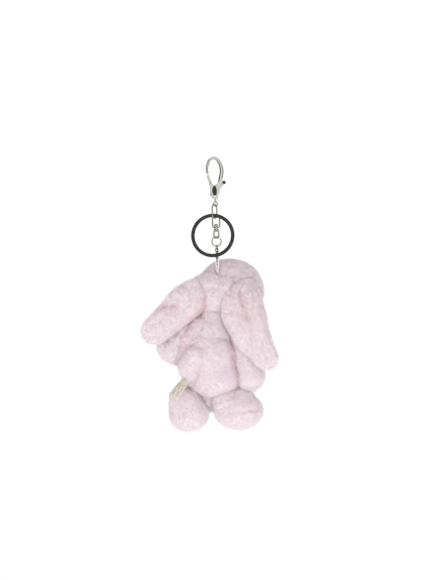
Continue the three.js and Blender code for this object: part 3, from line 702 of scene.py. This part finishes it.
# cord loop through the last link, sewn into the head
loopShape = {"yaw": -30, "top": -69.15, "cord": 0.9, "plyWide": 0.56, "plyOut": 0.22, "twist": 0.55}
strand = [(-0.3, 2.2, -80.4), (-0.35, 0.5, -77.6), (-0.75, 0, -74.5), (-1.1, 0, -71.4), (-1.0, 0, -70.1),
          (-0.55, 0, -69.35)]
loopPoints = strand + [(0, 0, loopShape["top"])] + [(-x, y, z) for x, y, z in reversed(strand)]
loopLine = smoothLine(turned(loopPoints, loopShape["yaw"]), 150)
plyWide = loopShape["cord"] * loopShape["plyWide"]
cords = []
for ply in range(2):
    line = []
    for i, (at, _, side, third) in enumerate(framesAlong(loopLine)):
        a = i * loopShape["twist"] + ply * math.pi
        line.append(at + (side * math.cos(a) + third * math.sin(a)) * loopShape["cord"] * loopShape["plyOut"])
    cords.append(sweep(f"ply{ply}", line, plyWide, plyWide, "cordThread", around=10))
hanger = joined("hanging_cord", cords)
fitted(hanger, "rabbit", "cord", "hanging_loop")
print("cord loop made")


# the rabbit: each stuffed piece starts as overlapping balls, is puffed up by cloth pressure between its
# pinned seams, then gets its creases with their painted shade, its lumps and its pile
plushWays = {  # millimetres; lumps: size and height
    "voxel": 1.0, "shrink": 0.5, "lumps": (9.0, 0.36), "fineLumps": (3.6, 0.05), "deepest": 3.0,
    "pressure": 4.0, "stiffness": 15, "bending": 0.4, "mass": 0.3, "frames": 20,
    "cap": 1.0, "pinReach": 1.2, "simScale": 10.0,
}
pile = {  # tufts in a square millimetre; the middle and the painted crease-shade colours take the tufts whose random share plus painted crease shade lies above these shares
    "density": 7.0, "length": 1.7, "width": 0.26, "ruffle": 0.75, "droop": 0.35,
    "middleFrom": 0.6, "creaseShadeFrom": 1.05,
}


def ballPart(centre, radii):
    rows, around = 24, 36
    points = [(centre[0], centre[1], centre[2] - radii[2])]
    for i in range(1, rows):
        a = math.pi * i / rows - math.pi / 2
        for j in range(around):
            b = 2 * math.pi * j / around
            points.append((centre[0] + radii[0] * math.cos(a) * math.cos(b),
                           centre[1] + radii[1] * math.cos(a) * math.sin(b),
                           centre[2] + radii[2] * math.sin(a)))
    points.append((centre[0], centre[1], centre[2] + radii[2]))
    faces = [(0, 1 + (j + 1) % around, 1 + j) for j in range(around)]
    for i in range(rows - 2):
        base = 1 + i * around
        faces += [(base + j, base + (j + 1) % around, base + around + (j + 1) % around, base + around + j)
                  for j in range(around)]
    base, top = 1 + (rows - 2) * around, len(points) - 1
    faces += [(base + j, base + (j + 1) % around, top) for j in range(around)]
    return meshOf("ball", points, faces, "furSkin")


def chainParts(first, last, count):
    return [ballPart([a + (b - a) * t for a, b in zip(first[0], last[0])],
                     [a + (b - a) * t for a, b in zip(first[1], last[1])])
            for t in (k / (count - 1) for k in range(count))]


def pillowPart(spine, halves, thick):
    # an ear: a soft pillow along its spine, lying across the line of sight
    count, around = 40, 40
    line = smoothLine(spine, count)
    wide, deep = spread(halves, count), spread(thick, count)
    points = []
    for i, (at, tangent, _, _) in enumerate(framesAlong(line)):
        normal = Vector((0, -1, 0))
        normal = (normal - tangent * normal.dot(tangent)).normalized()
        across = tangent.cross(normal)
        fade = math.sqrt(max(0.0, 1 - max(0.0, (i - count + 7) / 6.3) ** 2))
        for j in range(around):
            a = 2 * math.pi * j / around
            c, s = math.cos(a), math.sin(a)
            points.append(at + across * math.copysign(abs(c) ** 0.9, c) * wide[i] * max(fade, 0.06)
                          + normal * math.copysign(abs(s) ** 0.8, s) * deep[i] / 2 * max(fade, 0.1))
    return meshOf("pillow", points, ringsToFaces(count, around), "furSkin")


def coordinates(piece):
    points = np.empty(len(piece.data.vertices) * 3)
    piece.data.vertices.foreach_get("co", points)
    return points.reshape(-1, 3)


def normalsOf(piece):
    normals = np.empty(len(piece.data.vertices) * 3)
    piece.data.vertex_normals.foreach_get("vector", normals)
    return normals.reshape(-1, 3)


def setCoordinates(piece, points):
    piece.data.vertices.foreach_set("co", points.reshape(-1))
    piece.data.update()


def nearness(points, normals, path):
    # distance in mm to a path; a path of (x, z) points is taken on the back of the rabbit only
    flat = len(path[0]) == 2
    line = np.array(path, float)
    where = points[:, [0, 2]] / mm if flat else points / mm
    best = np.full(len(points), 1e9)
    for a, b in zip(line[:-1], line[1:]):
        ab = b - a
        t = np.clip((where - a) @ ab / max(ab @ ab, 1e-9), 0, 1)
        best = np.minimum(best, np.linalg.norm(where - (a + t[:, None] * ab), axis=1))
    if flat:
        best = best + np.maximum(0, normals[:, 1] + 0.2) * 9
    return best


def stuffing(shape):
    # the overlapping balls, or the pillow, that a piece starts from
    if "spine" in shape:
        return [pillowPart(shape["spine"], shape["halves"], shape["thick"])]
    made = []
    for part in shape["parts"]:
        made += chainParts(*part) if len(part) == 3 else [ballPart(*part)]
    return made


def puffed(piece, seams):
    # cloth with pressure, pinned along the seams and worked at a larger scale; no point moves past the cap
    scale = plushWays["simScale"]
    start = coordinates(piece)
    setCoordinates(piece, start * scale)
    pins = piece.vertex_groups.new(name="pins")
    held = np.zeros(len(start))
    normals = normalsOf(piece)
    for path in (crease["path"] for crease in seams if not crease["free"]):
        held = np.maximum(held, np.exp(-(nearness(start, normals, path) / plushWays["pinReach"]) ** 2))
    for index in np.nonzero(held > 0.15)[0]:
        pins.add([int(index)], float(held[index]), "REPLACE")
    cloth = piece.modifiers.new("cloth", "CLOTH")
    cloth.settings.quality = 6
    cloth.settings.mass = plushWays["mass"]
    cloth.settings.use_pressure = True
    cloth.settings.uniform_pressure_force = plushWays["pressure"]
    cloth.settings.tension_stiffness = cloth.settings.compression_stiffness = plushWays["stiffness"]
    cloth.settings.bending_stiffness = plushWays["bending"]
    cloth.settings.effector_weights.gravity = 0
    cloth.settings.vertex_group_mass = "pins"
    cloth.collision_settings.use_collision = False
    cloth.point_cache.frame_start, cloth.point_cache.frame_end = 1, plushWays["frames"]
    for frameNumber in range(1, plushWays["frames"] + 1):
        bpy.context.scene.frame_set(frameNumber)
    graph = bpy.context.evaluated_depsgraph_get()
    shown = piece.evaluated_get(graph).to_mesh()
    moved = np.empty(len(start) * 3)
    shown.vertices.foreach_get("co", moved)
    moved = moved.reshape(-1, 3) / scale
    piece.evaluated_get(graph).to_mesh_clear()
    piece.modifiers.remove(cloth)
    piece.vertex_groups.clear()
    bpy.context.scene.frame_set(1)
    change = np.nan_to_num(moved - start)
    far = np.linalg.norm(change, axis=1, keepdims=True)
    cap = plushWays["cap"] * mm
    setCoordinates(piece, start + change * np.minimum(1, cap / np.maximum(far, 1e-9)))


def lumps(piece, size, height, seed):
    points, normals = coordinates(piece), normalsOf(piece)
    offset = Vector((seed * 13.1, seed * 7.7, seed * 3.3))
    rise = np.array([noise.fractal(Vector(p) / (size * mm) + offset, 0.8, 2.0, 3) for p in points])
    setCoordinates(piece, points + normals * (rise * height * mm)[:, None])


def plush(name, parts, seams, seed):
    piece = joined(name, parts)
    remesh = piece.modifiers.new("remesh", "REMESH")
    remesh.mode, remesh.voxel_size = "VOXEL", plushWays["voxel"] * mm
    baked(piece)
    smooth = piece.modifiers.new("smooth", "SMOOTH")
    smooth.factor, smooth.iterations = 0.5, 6
    baked(piece)
    setCoordinates(piece, coordinates(piece) - normalsOf(piece) * plushWays["shrink"] * mm)
    puffed(piece, seams)
    finer = piece.modifiers.new("finer", "SUBSURF")
    finer.levels = finer.render_levels = 1
    baked(piece)
    lumps(piece, *plushWays["lumps"], seed)
    lumps(piece, *plushWays["fineLumps"], seed + 5)
    points, normals = coordinates(piece), normalsOf(piece)
    depth, paintedShade = np.zeros(len(points)), np.zeros(len(points))
    # each seam sinks the skin and lays painted shade along it, kept as the crease attribute
    for crease in seams:
        near = nearness(points, normals, crease["path"])
        depth += crease["depth"] * np.exp(-(near / crease["width"]) ** 2)
        paintedShade = np.maximum(paintedShade, crease["paintedShade"] * np.exp(-(near / (crease["width"] * 1.5 + 0.8)) ** 2))
    setCoordinates(piece, points - normals * (np.minimum(depth, plushWays["deepest"]) * mm)[:, None])
    relax = piece.modifiers.new("relax", "SMOOTH")
    relax.factor, relax.iterations = 0.4, 2
    baked(piece)
    tinted = piece.data.attributes.new("crease", "FLOAT", "POINT")
    tinted.data.foreach_set("value", paintedShade)
    piece.data.materials.clear()
    piece.data.materials.append(finishes["furSkin"])
    piece.data.shade_smooth()
    print("  stuffed:", name, len(piece.data.polygons), "faces")
    return piece


def seam(path, width, depth, paintedShade, free=False):
    # a crease along a path, sunk by its depth and painted with shade by its share: points (x, z) lie on the
    # back of the rabbit, points (x, y, z) anywhere. Its cloth is held while the piece is puffed up, unless it
    # is free
    return {"path": path, "width": width, "depth": depth, "paintedShade": paintedShade, "free": free}


# parts are balls (centre, radii) and chains of balls (first ball, last ball, how many), in millimetres
rabbit = {
    "head": {
        "body": "rabbit", "fill": 0.75,
        "replaces": ["head_cover", "head_filling"],
        "parts": [
            ((8.3, 14.2, -90.4), (23.4, 19.8, 21.8)),
            ((8.3, 24.0, -97.0), (14, 12, 10)),
            (((-6.8, -0.4, -87.2), (12.6, 9.6, 9.2)), ((4.2, 0.7, -89.6), (11.0, 9.8, 9.8)), 5),
            (((-4.2, -2.4, -94.8), (11.0, 9.8, 9.6)), ((-4.2, -1.0, -101.4), (9.8, 9.0, 8.6)), 4),
        ],
        "seams": [
            seam([(0.3, -76.6), (0.3, -78.6)], 1.6, 1.1, 0.25),
            seam([(12.0, -84.5), (16.0, -81.8), (23.7, -81.0)], 1.6, 0.9, 0.1),
            seam([(10.2, -80.2), (11.3, -84.5), (9.6, -89.0)], 1.6, 1.0, 0.2),
            seam([(9.6, -89.0), (8.0, -92.0), (4.6, -96.0)], 1.9, 0.7, 0.15),
            seam([(-9.8, -84.8), (-5.2, -82.1)], 2.4, 0.5, 0.12, free=True),
            seam([(-9.9, -93.5), (-10.0, -101.5)], 1.4, 1.6, 0.85),
            seam([(8.3, 34.0, -80.0), (8.3, 33.0, -96.0), (8.3, 30.5, -104.0)], 1.3, 0.7, 0.3),
        ],
    },
    "torso": {
        "body": "rabbit", "fill": 0.7,
        "replaces": ["body_cover", "body_filling", "tail_cover", "tail_filling"],
        "parts": [
            ((-7.9, -5.0, -137.0), (19.6, 15.3, 20.0)),
            ((-6.2, -1.9, -122.5), (16.0, 13.0, 14.0)),
            (((-3.6, 1.0, -107.5), (11.6, 9.8, 10.4)), ((-5.4, -0.4, -118.0), (15.0, 12.0, 13.0)), 4),
            ((-5.0, -5.5, -149.3), (19.0, 13.2, 13.4)),
            (((-7.0, 2.0, -153.0), (15.0, 9.6, 12.0)), ((-8.6, 4.0, -164.4), (9.0, 7.8, 9.2)), 5),
            (((-13.0, -1.4, -117.0), (12.0, 10.6, 11.0)), ((-19.5, -3.2, -125.0), (11.6, 9.8, 11.0)), 4),
            (((-19.5, -3.2, -125.0), (11.6, 9.8, 11.0)), ((-21.6, -4.2, -134.0), (11.4, 9.6, 10.0)), 4),
            (((-17.0, -14.2, -135.0), (7.2, 7.6, 7.4)), ((-20.8, -12.4, -142.4), (8.7, 8.4, 9.2)), 5),
        ],
        "seams": [
            seam([(7.6, -124.0), (8.4, -135.7), (10.8, -145.4), (12.0, -153.2)], 1.2, 0.5, 0.75),
            seam([(-21.9, -156.1), (-15.3, -160.6), (-9.5, -162.2)], 1.8, 0.6, 0.3),
            seam([(-19.0, -127.2), (-15.8, -127.6), (-12.6, -128.4)], 2.4, 1.2, 0.3, free=True),
            seam([(-12.6, -128.4), (-12.4, -133.1), (-15.0, -139.8),
                  (-17.4, -146.0)], 2.2, 0.4, 0.1, free=True),
            seam([(-23.0, -115.0), (-24.6, -123.0), (-25.6, -131.0)], 2.6, 0.3, 0.4, free=True),
            seam([(-13.5, -107.5), (-18.5, -111.5), (-24.0, -115.5)], 2.4, 0.2, 0.8, free=True),
            seam([(-8.0, 10.6, -122.0), (-8.0, 10.9, -140.0), (-8.0, 6.0, -154.0)], 1.2, 0.6, 0.2),
        ],
    },
    "ear_left": {
        "body": "ear_left", "fill": 0.5,
        "replaces": ["ear_left_back", "ear_left_lining"],
        "spine": [(0.5, 15.0, -86.0), (-6.0, 6.4, -87.8), (-11.0, -2.8, -90.0), (-16.4, -7.2, -93.0),
                  (-23.4, -8.3, -98.1), (-32.2, -9.2, -106.2), (-39.4, -10.0, -112.4),
                  (-46.8, -10.6, -118.2), (-52.2, -11.0, -122.2)],
        "halves": [8.0, 9.5, 11.0, 12.6, 13.4, 12.2, 11.0, 9.4, 7.4],
        "thick": [8.0, 9.0, 9.8, 10.4, 10.8, 10.2, 9.6, 9.0, 8.0],
        "seams": [
            seam([(-37.7, -100.6), (-33.8, -99.9), (-29.6, -99.8)], 2.6, 1.5, 0.4, free=True),
            seam([(-32.2, -91.2), (-31.2, -94.6), (-32.4, -98.4)], 2.8, 0.9, 0.1, free=True),
            seam([(-25.2, -84.6), (-24.2, -87.6)], 2.4, 0.8, 0.12, free=True),
            seam([(-10.4, -96.0), (-10.6, -101.0), (-13.7, -106.0),
                  (-21.6, -112.6)], 1.3, 0.4, 0.7, free=True),
        ],
    },
    "ear_right": {
        "body": "ear_right", "fill": 0.5,
        "replaces": ["ear_right_back", "ear_right_lining"],
        "spine": [(11.5, 3.0, -80.5), (12.4, -0.5, -86.5), (14.0, -5.0, -94.0), (16.4, -9.5, -103.5),
                  (19.4, -12.4, -113.0), (22.8, -14.4, -122.0), (28.6, -15.6, -131.8),
                  (32.2, -15.4, -139.0), (34.4, -14.9, -145.6)],
        "halves": [10.0, 13.0, 15.5, 16.4, 15.4, 13.6, 10.4, 8.8, 7.0],
        "thick": [8.0, 9.0, 10.2, 10.8, 10.8, 10.4, 9.6, 8.8, 7.6],
        "seams": [
            seam([(14.6, -92.5), (15.6, -96.3), (17.3, -103.1), (19.6, -108.9)], 2.2, 0.9, 0.45, free=True),
            seam([(21.0, -101.0), (20.6, -108.5)], 2.6, 0.5, 0.3, free=True),
            seam([(10.5, -83.6), (12.5, -84.6), (16.5, -82.2), (23.7, -81.2)], 1.5, 1.1, 0.2, free=True),
            seam([(9.8, -80.8), (11.2, -84.5), (9.2, -88.0)], 1.5, 0.6, 0.2, free=True),
            seam([(7.0, -88.6), (9.4, -90.4), (8.2, -93.0)], 1.6, 0.6, 0.25, free=True),
        ],
    },
    "arm_left": {
        "body": "arm_left", "fill": 0.7,
        "replaces": ["arm_left_cover", "arm_left_filling"],
        "parts": [
            (((-22.5, -1.2, -119.0), (9.6, 9.0, 9.6)), ((-33.8, 1.2, -128.6), (9.4, 8.8, 9.4)), 6),
            (((-26.0, -2.0, -125.0), (9.2, 9.0, 9.2)), ((-29.4, -2.2, -131.4), (9.4, 8.9, 9.0)), 4),
        ],
        "seams": [
            seam([(-36.0, 11.5, -121.0), (-42.5, 6.0, -127.5), (-39.5, 4.0, -136.5)], 1.1, 0.6, 0.2),
        ],
    },
    "arm_right": {
        "body": "arm_right", "fill": 0.7,
        "replaces": ["arm_right_cover", "arm_right_filling"],
        "parts": [
            (((15.6, -3.2, -124.0), (8.8, 9.0, 8.6)), ((19.8, -3.8, -149.2), (10.8, 9.8, 10.7)), 7),
        ],
        "seams": [
            seam([(26.5, 6.0, -124.0), (31.0, 2.0, -138.0), (29.5, 1.5, -151.0)], 1.2, 0.6, 0.2),
        ],
    },
    "leg_left": {
        "body": "leg_left", "fill": 0.7,
        "replaces": ["leg_left_cover", "leg_left_filling"],
        "parts": [
            (((-24.6, -4.4, -164.0), (10.8, 11.2, 9.4)), ((-22.5, -4.0, -174.4), (13.4, 13.2, 11.6)), 5),
            ((-22.5, 3.0, -175.5), (11.0, 11.0, 9.8)),
        ],
        "seams": [
            seam([(-34.0, -173.6), (-29.0, -174.6), (-22.0, -175.0)], 2.4, 0.5, 0.1),
            seam([(-21.0, -157.0), (-18.0, -160.8), (-13.0, -163.4)], 1.8, 0.6, 0.3),
        ],
    },
    "leg_right": {
        "body": "leg_right", "fill": 0.7,
        "replaces": ["leg_right_cover", "leg_right_filling"],
        "parts": [
            ((11.9, -4.2, -172.9), (16.9, 13.0, 12.7)),
            ((3.2, -4.4, -166.6), (9.4, 10.8, 9.6)),
            ((11.6, -4.0, -166.4), (12.4, 10.4, 9.4)),
            ((11.5, 3.0, -175.5), (13.0, 11.0, 9.8)),
        ],
        "seams": [
            seam([(5.0, -174.9), (12.4, -173.5), (20.1, -172.3), (24.0, -172.4)], 2.0, 0.8, 0.2),
            seam([(-3.5, -168.0), (2.0, -164.0), (11.0, -161.5)], 1.8, 0.5, 0.2),
        ],
    },
}

began = time.perf_counter()
skins = {}
for seed, (name, shape) in enumerate(rabbit.items()):
    skins[name] = plush(f"{name}_plush", stuffing(shape), shape["seams"], seed)
print(f"stuffed pieces made in {time.perf_counter() - began:.0f} s")

# painted shade: where two pieces meet, the skin and its pile are painted a deeper pink, by a share for each
# pair
meeting = {"reach": 2.4, "usual": 0.25, "pairs": {
    "head ear_left": 0.0, "head ear_right": 0.0, "head torso": 0.3, "torso arm_right": 0.5,
    "torso ear_right": 0.5, "torso ear_left": 0.85, "torso arm_left": 0.1, "ear_left arm_left": 0.75,
    "torso leg_left": 0.45, "torso leg_right": 0.3, "ear_right arm_right": 0.3}}
graph = bpy.context.evaluated_depsgraph_get()
trees = {name: BVHTree.FromObject(skin, graph) for name, skin in skins.items()}
for name, skin in skins.items():
    paintedShade = np.empty(len(skin.data.vertices))
    skin.data.attributes["crease"].data.foreach_get("value", paintedShade)
    for other, tree in trees.items():
        share = meeting["pairs"].get(f"{other} {name}", meeting["usual"])
        share = meeting["pairs"].get(f"{name} {other}", share)
        if other == name or share == 0:
            continue
        for index, vertex in enumerate(skin.data.vertices):
            found = tree.find_nearest(vertex.co, meeting["reach"] * 2 * mm)
            if found[0] is not None:
                paintedShade[index] = max(paintedShade[index], share * math.exp(-(found[3] / mm / meeting["reach"]) ** 2))
    skin.data.attributes["crease"].data.foreach_set("value", paintedShade)
print("meeting places tinted")

# the pile: short tapered tufts in three shades, scattered over a skin and leaning with its nap; the middle
# shade falls at random and more often in creases, and the pinkest is painted shade laid only in creases and
# meeting places
furCoat, start, end, node = geometryTree("furCoat", [
    ("Geometry", "NodeSocketGeometry"), ("Density", "NodeSocketFloat"), ("Length", "NodeSocketFloat"),
    ("Width", "NodeSocketFloat"), ("Ruffle", "NodeSocketFloat"), ("Droop", "NodeSocketFloat"),
    ("Seed", "NodeSocketInt"), ("Pale", "NodeSocketMaterial"), ("Middle", "NodeSocketMaterial"),
    ("CreaseShade", "NodeSocketMaterial")])
scattered = furCoat.nodes.new("GeometryNodeDistributePointsOnFaces")
furCoat.links.new(start.outputs["Geometry"], scattered.inputs["Mesh"])
furCoat.links.new(start.outputs["Density"], scattered.inputs["Density"])
furCoat.links.new(start.outputs["Seed"], scattered.inputs["Seed"])
place = node("GeometryNodeInputPosition", {}, {})
tuftNoise = node("ShaderNodeTexNoise", {}, {"Vector": place, "Scale": 320.0, "Detail": 1.0}, output=1)
tufts = node("ShaderNodeVectorMath", {"operation": "SUBTRACT"}, {0: tuftNoise, 1: (0.5, 0.5, 0.5)})
tuftPush = node("ShaderNodeVectorMath", {"operation": "SCALE"}, {0: tufts, "Scale": 2.2})
scatter = node("FunctionNodeRandomValue", {"data_type": "FLOAT_VECTOR"},
               {0: (-0.7, -0.7, -0.7), 1: (0.7, 0.7, 0.7)})
wild = node("ShaderNodeVectorMath", {"operation": "ADD"}, {0: tuftPush, 1: scatter})
ruffled = node("ShaderNodeVectorMath", {"operation": "SCALE"}, {0: wild, "Scale": start.outputs["Ruffle"]})
down = node("ShaderNodeCombineXYZ", {}, {"Z": node("ShaderNodeMath", {"operation": "MULTIPLY"},
                                                   {0: start.outputs["Droop"], 1: -1.0})})
lean = node("ShaderNodeVectorMath", {"operation": "ADD"}, {0: ruffled, 1: down})
aim = node("ShaderNodeVectorMath", {"operation": "ADD"}, {0: lean, 1: scattered.outputs["Normal"]})
facing = node("FunctionNodeAlignRotationToVector", {"axis": "Z"}, {"Vector": aim})
uneven = furCoat.nodes.new("FunctionNodeRandomValue")
uneven.inputs[2].default_value, uneven.inputs[3].default_value = 0.55, 1.15
tall = node("ShaderNodeMath", {"operation": "MULTIPLY"}, {0: uneven.outputs[1], 1: start.outputs["Length"]})
size = node("ShaderNodeCombineXYZ", {}, {"X": start.outputs["Width"], "Y": start.outputs["Width"], "Z": tall})
tuft = node("GeometryNodeMeshCone", {"fill_type": "NONE"},
            {"Vertices": 3, "Side Segments": 1, "Radius Top": 0.0, "Radius Bottom": 0.5, "Depth": 1.0})
coat = node("GeometryNodeInstanceOnPoints", {}, {"Points": scattered.outputs["Points"], "Instance": tuft,
                                                 "Rotation": facing, "Scale": size})
chance = furCoat.nodes.new("FunctionNodeRandomValue")
chance.inputs["Seed"].default_value = 7
# painted shade: the skin's crease attribute pushes tufts towards the middle and the pink crease-shade colours
creaseShadeHere = node("GeometryNodeInputNamedAttribute", {"data_type": "FLOAT"}, {"Name": "crease"})
creaseShadePull = node("ShaderNodeMath", {"operation": "MULTIPLY"}, {0: creaseShadeHere, 1: 0.9})
shade = node("ShaderNodeMath", {"operation": "ADD"}, {0: chance.outputs[1], 1: creaseShadePull})
shaded = node("GeometryNodeStoreNamedAttribute", {"data_type": "FLOAT", "domain": "INSTANCE"},
              {"Geometry": coat, "Name": "shade", "Value": shade})
real = node("GeometryNodeRealizeInstances", {}, {"Geometry": shaded})
shadeHere = node("GeometryNodeInputNamedAttribute", {"data_type": "FLOAT"}, {"Name": "shade"})
above = {"data_type": "FLOAT", "operation": "GREATER_THAN"}
isMiddle = node("FunctionNodeCompare", above, {0: shadeHere, 1: pile["middleFrom"]})
isCreaseShade = node("FunctionNodeCompare", above, {0: shadeHere, 1: pile["creaseShadeFrom"]})
pale = node("GeometryNodeSetMaterial", {}, {"Geometry": real, "Material": start.outputs["Pale"]})
middle = node("GeometryNodeSetMaterial", {},
              {"Geometry": pale, "Material": start.outputs["Middle"], "Selection": isMiddle})
deep = node("GeometryNodeSetMaterial", {},
            {"Geometry": middle, "Material": start.outputs["CreaseShade"], "Selection": isCreaseShade})
furCoat.links.new(deep, end.inputs["Geometry"])


def furred(name, skin, body, seed):
    coat = bpy.data.objects.new(name, skin.data.copy())
    bpy.context.collection.objects.link(coat)
    coat.data.materials.clear()
    grown(coat, furCoat, {
        "Density": pile["density"] / mm / mm * 1.0, "Length": pile["length"] * mm,
        "Width": pile["width"] * mm, "Ruffle": pile["ruffle"], "Droop": pile["droop"], "Seed": seed,
        "Pale": finishes["hairPale"], "Middle": finishes["hairMid"], "CreaseShade": finishes["hairCreaseShade"]})
    print("  pile:", name, len(coat.data.polygons), "faces")
    return fitted(coat, body, "fur")


for seed, (name, shape) in enumerate(rabbit.items()):
    skin = fitted(skins[name], shape["body"], "fur", *shape["replaces"])
    furred(f"{name}_fur", skin, shape["body"], seed + 3)
print("rabbit furred")

# care label: a ribbon folded in two
label = {"from": (-23.7, -17.6, -150.2), "along": (-0.59, -0.12, -0.80), "length": 14.2, "width": 10.0,
         "fold": 0.38, "turnTop": 66, "turnEnd": 50, "sway": 0.5, "ripple": 0.15, "thick": 0.22,
         "steps": 20, "columns": 12}
alongLabel = Vector(label["along"]).normalized()
inView = Vector((-alongLabel.z, 0, alongLabel.x)).normalized()
steps, columns = label["steps"], label["columns"]
outline = [(label["length"] * k / steps, label["fold"] * (0.8 + 0.2 * k / steps)) for k in range(steps + 1)]
outline += [(label["length"] + label["fold"] * math.cos(a), label["fold"] * math.sin(a))
            for a in (math.pi / 2 - math.pi * k / 8 for k in range(1, 8))]
outline += [(x, -y) for x, y in reversed(outline[:steps + 1])]
points, uvs, lengths = [], [], []
travelled, last = 0.0, outline[0]
for x, y in outline:
    travelled += math.dist((x, y), last)
    last = (x, y)
    lengths.append(travelled)
for (x, y), gone in zip(outline, lengths):
    turn = math.radians(label["turnTop"] + (label["turnEnd"] - label["turnTop"]) * x / label["length"])
    across = inView * math.cos(turn) + Vector((0, -1, 0)) * math.sin(turn)
    across = (across - alongLabel * across.dot(alongLabel)).normalized()
    through = alongLabel.cross(across)
    sway = label["sway"] * math.sin(x / label["length"] * 2.6)
    for j in range(columns + 1):
        share = j / columns
        points.append(Vector(label["from"]) + alongLabel * x + across * (share - 0.5) * label["width"]
                      + through * (y + sway + label["ripple"] * math.sin(share * 5)))
        uvs.append((gone / travelled, share))
rowLength = columns + 1
corners = [i * rowLength + j for i in range(len(outline) - 1) for j in range(columns)]
faces = [(k, k + 1, k + rowLength + 1, k + rowLength) for k in corners]
tag = meshOf("care_ribbon", points, faces, "ribbonLabel", closed=False)
ribbonUv = tag.data.uv_layers.new(name="ribbon")
for corner in tag.data.loops:
    ribbonUv.data[corner.index].uv = uvs[corner.vertex_index]
thicken = tag.modifiers.new("thicken", "SOLIDIFY")
thicken.thickness, thicken.offset = label["thick"] * mm, 0
baked(tag)
fitted(tag, "rabbit", "label", "care_label")
travelled * mm

# face: bead eyes and an embroidered nose
face = {"eyeRadius": 2.6, "nose": (8.3, 35.6, -95.2), "noseWide": 5.2, "noseTall": 3.4, "thread": 0.42,
        "stitches": 11, "raised": 0.35, "padded": 0.9, "sunk": -0.55}
headTree = BVHTree.FromObject(skins["head"], bpy.context.evaluated_depsgraph_get())


def onFace(x, z, lift=0.0):
    # the point of the head's front straight behind (x, z)
    hit, normal, _, _ = headTree.ray_cast(Vector((x * mm, 0.08, z * mm)), Vector((0, -1, 0)))
    return hit / mm + normal * lift, normal


for side in ("left", "right"):
    seatAt = span(f"eye_{side}")[2] / mm
    at, normal = onFace(seatAt.x, seatAt.z)
    r = face["eyeRadius"]
    dome = [(0.01, -3.2), (0.8, -3.2), (0.8, -0.4), (r * 0.92, -0.35), (r, 0.1)]
    dome += [(r * math.cos(a), 0.1 + 1.9 * math.sin(a)) for a in (math.pi / 2 * k / 10 for k in range(1, 10))]
    dome += [(0.01, 2.0)]
    bead = lathed(f"eye_bead_{side}", dome, 40, "blackBead", at + normal * 0.3, normal)
    fitted(bead, "rabbit", "bead", f"eye_{side}")

def stitched(points, wide, thick):
    return sweep("stitch", points, wide, thick, "noseThread", around=8)


threads = []
noseX, _, noseZ = face["nose"]
for k in range(face["stitches"]):
    # satin stitches fan down to the nose's tip, their ends sunk into the pile
    share = k / (face["stitches"] - 1) * 2 - 1
    topX, topZ = noseX + share * face["noseWide"] / 2, noseZ + face["noseTall"] * 0.5 - 0.5 * share * share
    footX, footZ = noseX + share * 0.5, noseZ - face["noseTall"] * 0.5
    stitch = []
    for t in (i / 8 for i in range(9)):
        lift = face["sunk"] if t in (0, 1) else face["raised"] + face["padded"] * math.sin(math.pi * t)
        stitch.append(onFace(topX + (footX - topX) * t, topZ + (footZ - topZ) * t, lift)[0])
    threads.append(stitched(stitch, face["thread"] * 1.5, face["thread"] * 1.2))
for side in (-1, 1):
    mouth = [(noseX, 0, noseZ - 1.5), (noseX, 0, noseZ - 3.4), (noseX + side * 1.6, 0, noseZ - 4.9),
             (noseX + side * 3.6, 0, noseZ - 4.9)]
    stitch = [onFace(p.x, p.z, 0.5)[0] for p in smoothLine(mouth, 26)]
    threads.append(stitched(stitch, face["thread"], face["thread"]))
nose = joined("nose_threads", threads)
fitted(nose, "rabbit", "thread", "nose_stitching")
print("label and face made")

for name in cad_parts:
    thing = bpy.data.objects.get(name)
    hidden = "washerPlastic" if name.startswith("eye_washer") else "fibreFilling"
    if thing and (name.startswith("eye_washer") or name.endswith("_filling")):
        for slotOf in thing.material_slots:
            slotOf.material = finishes[hidden]
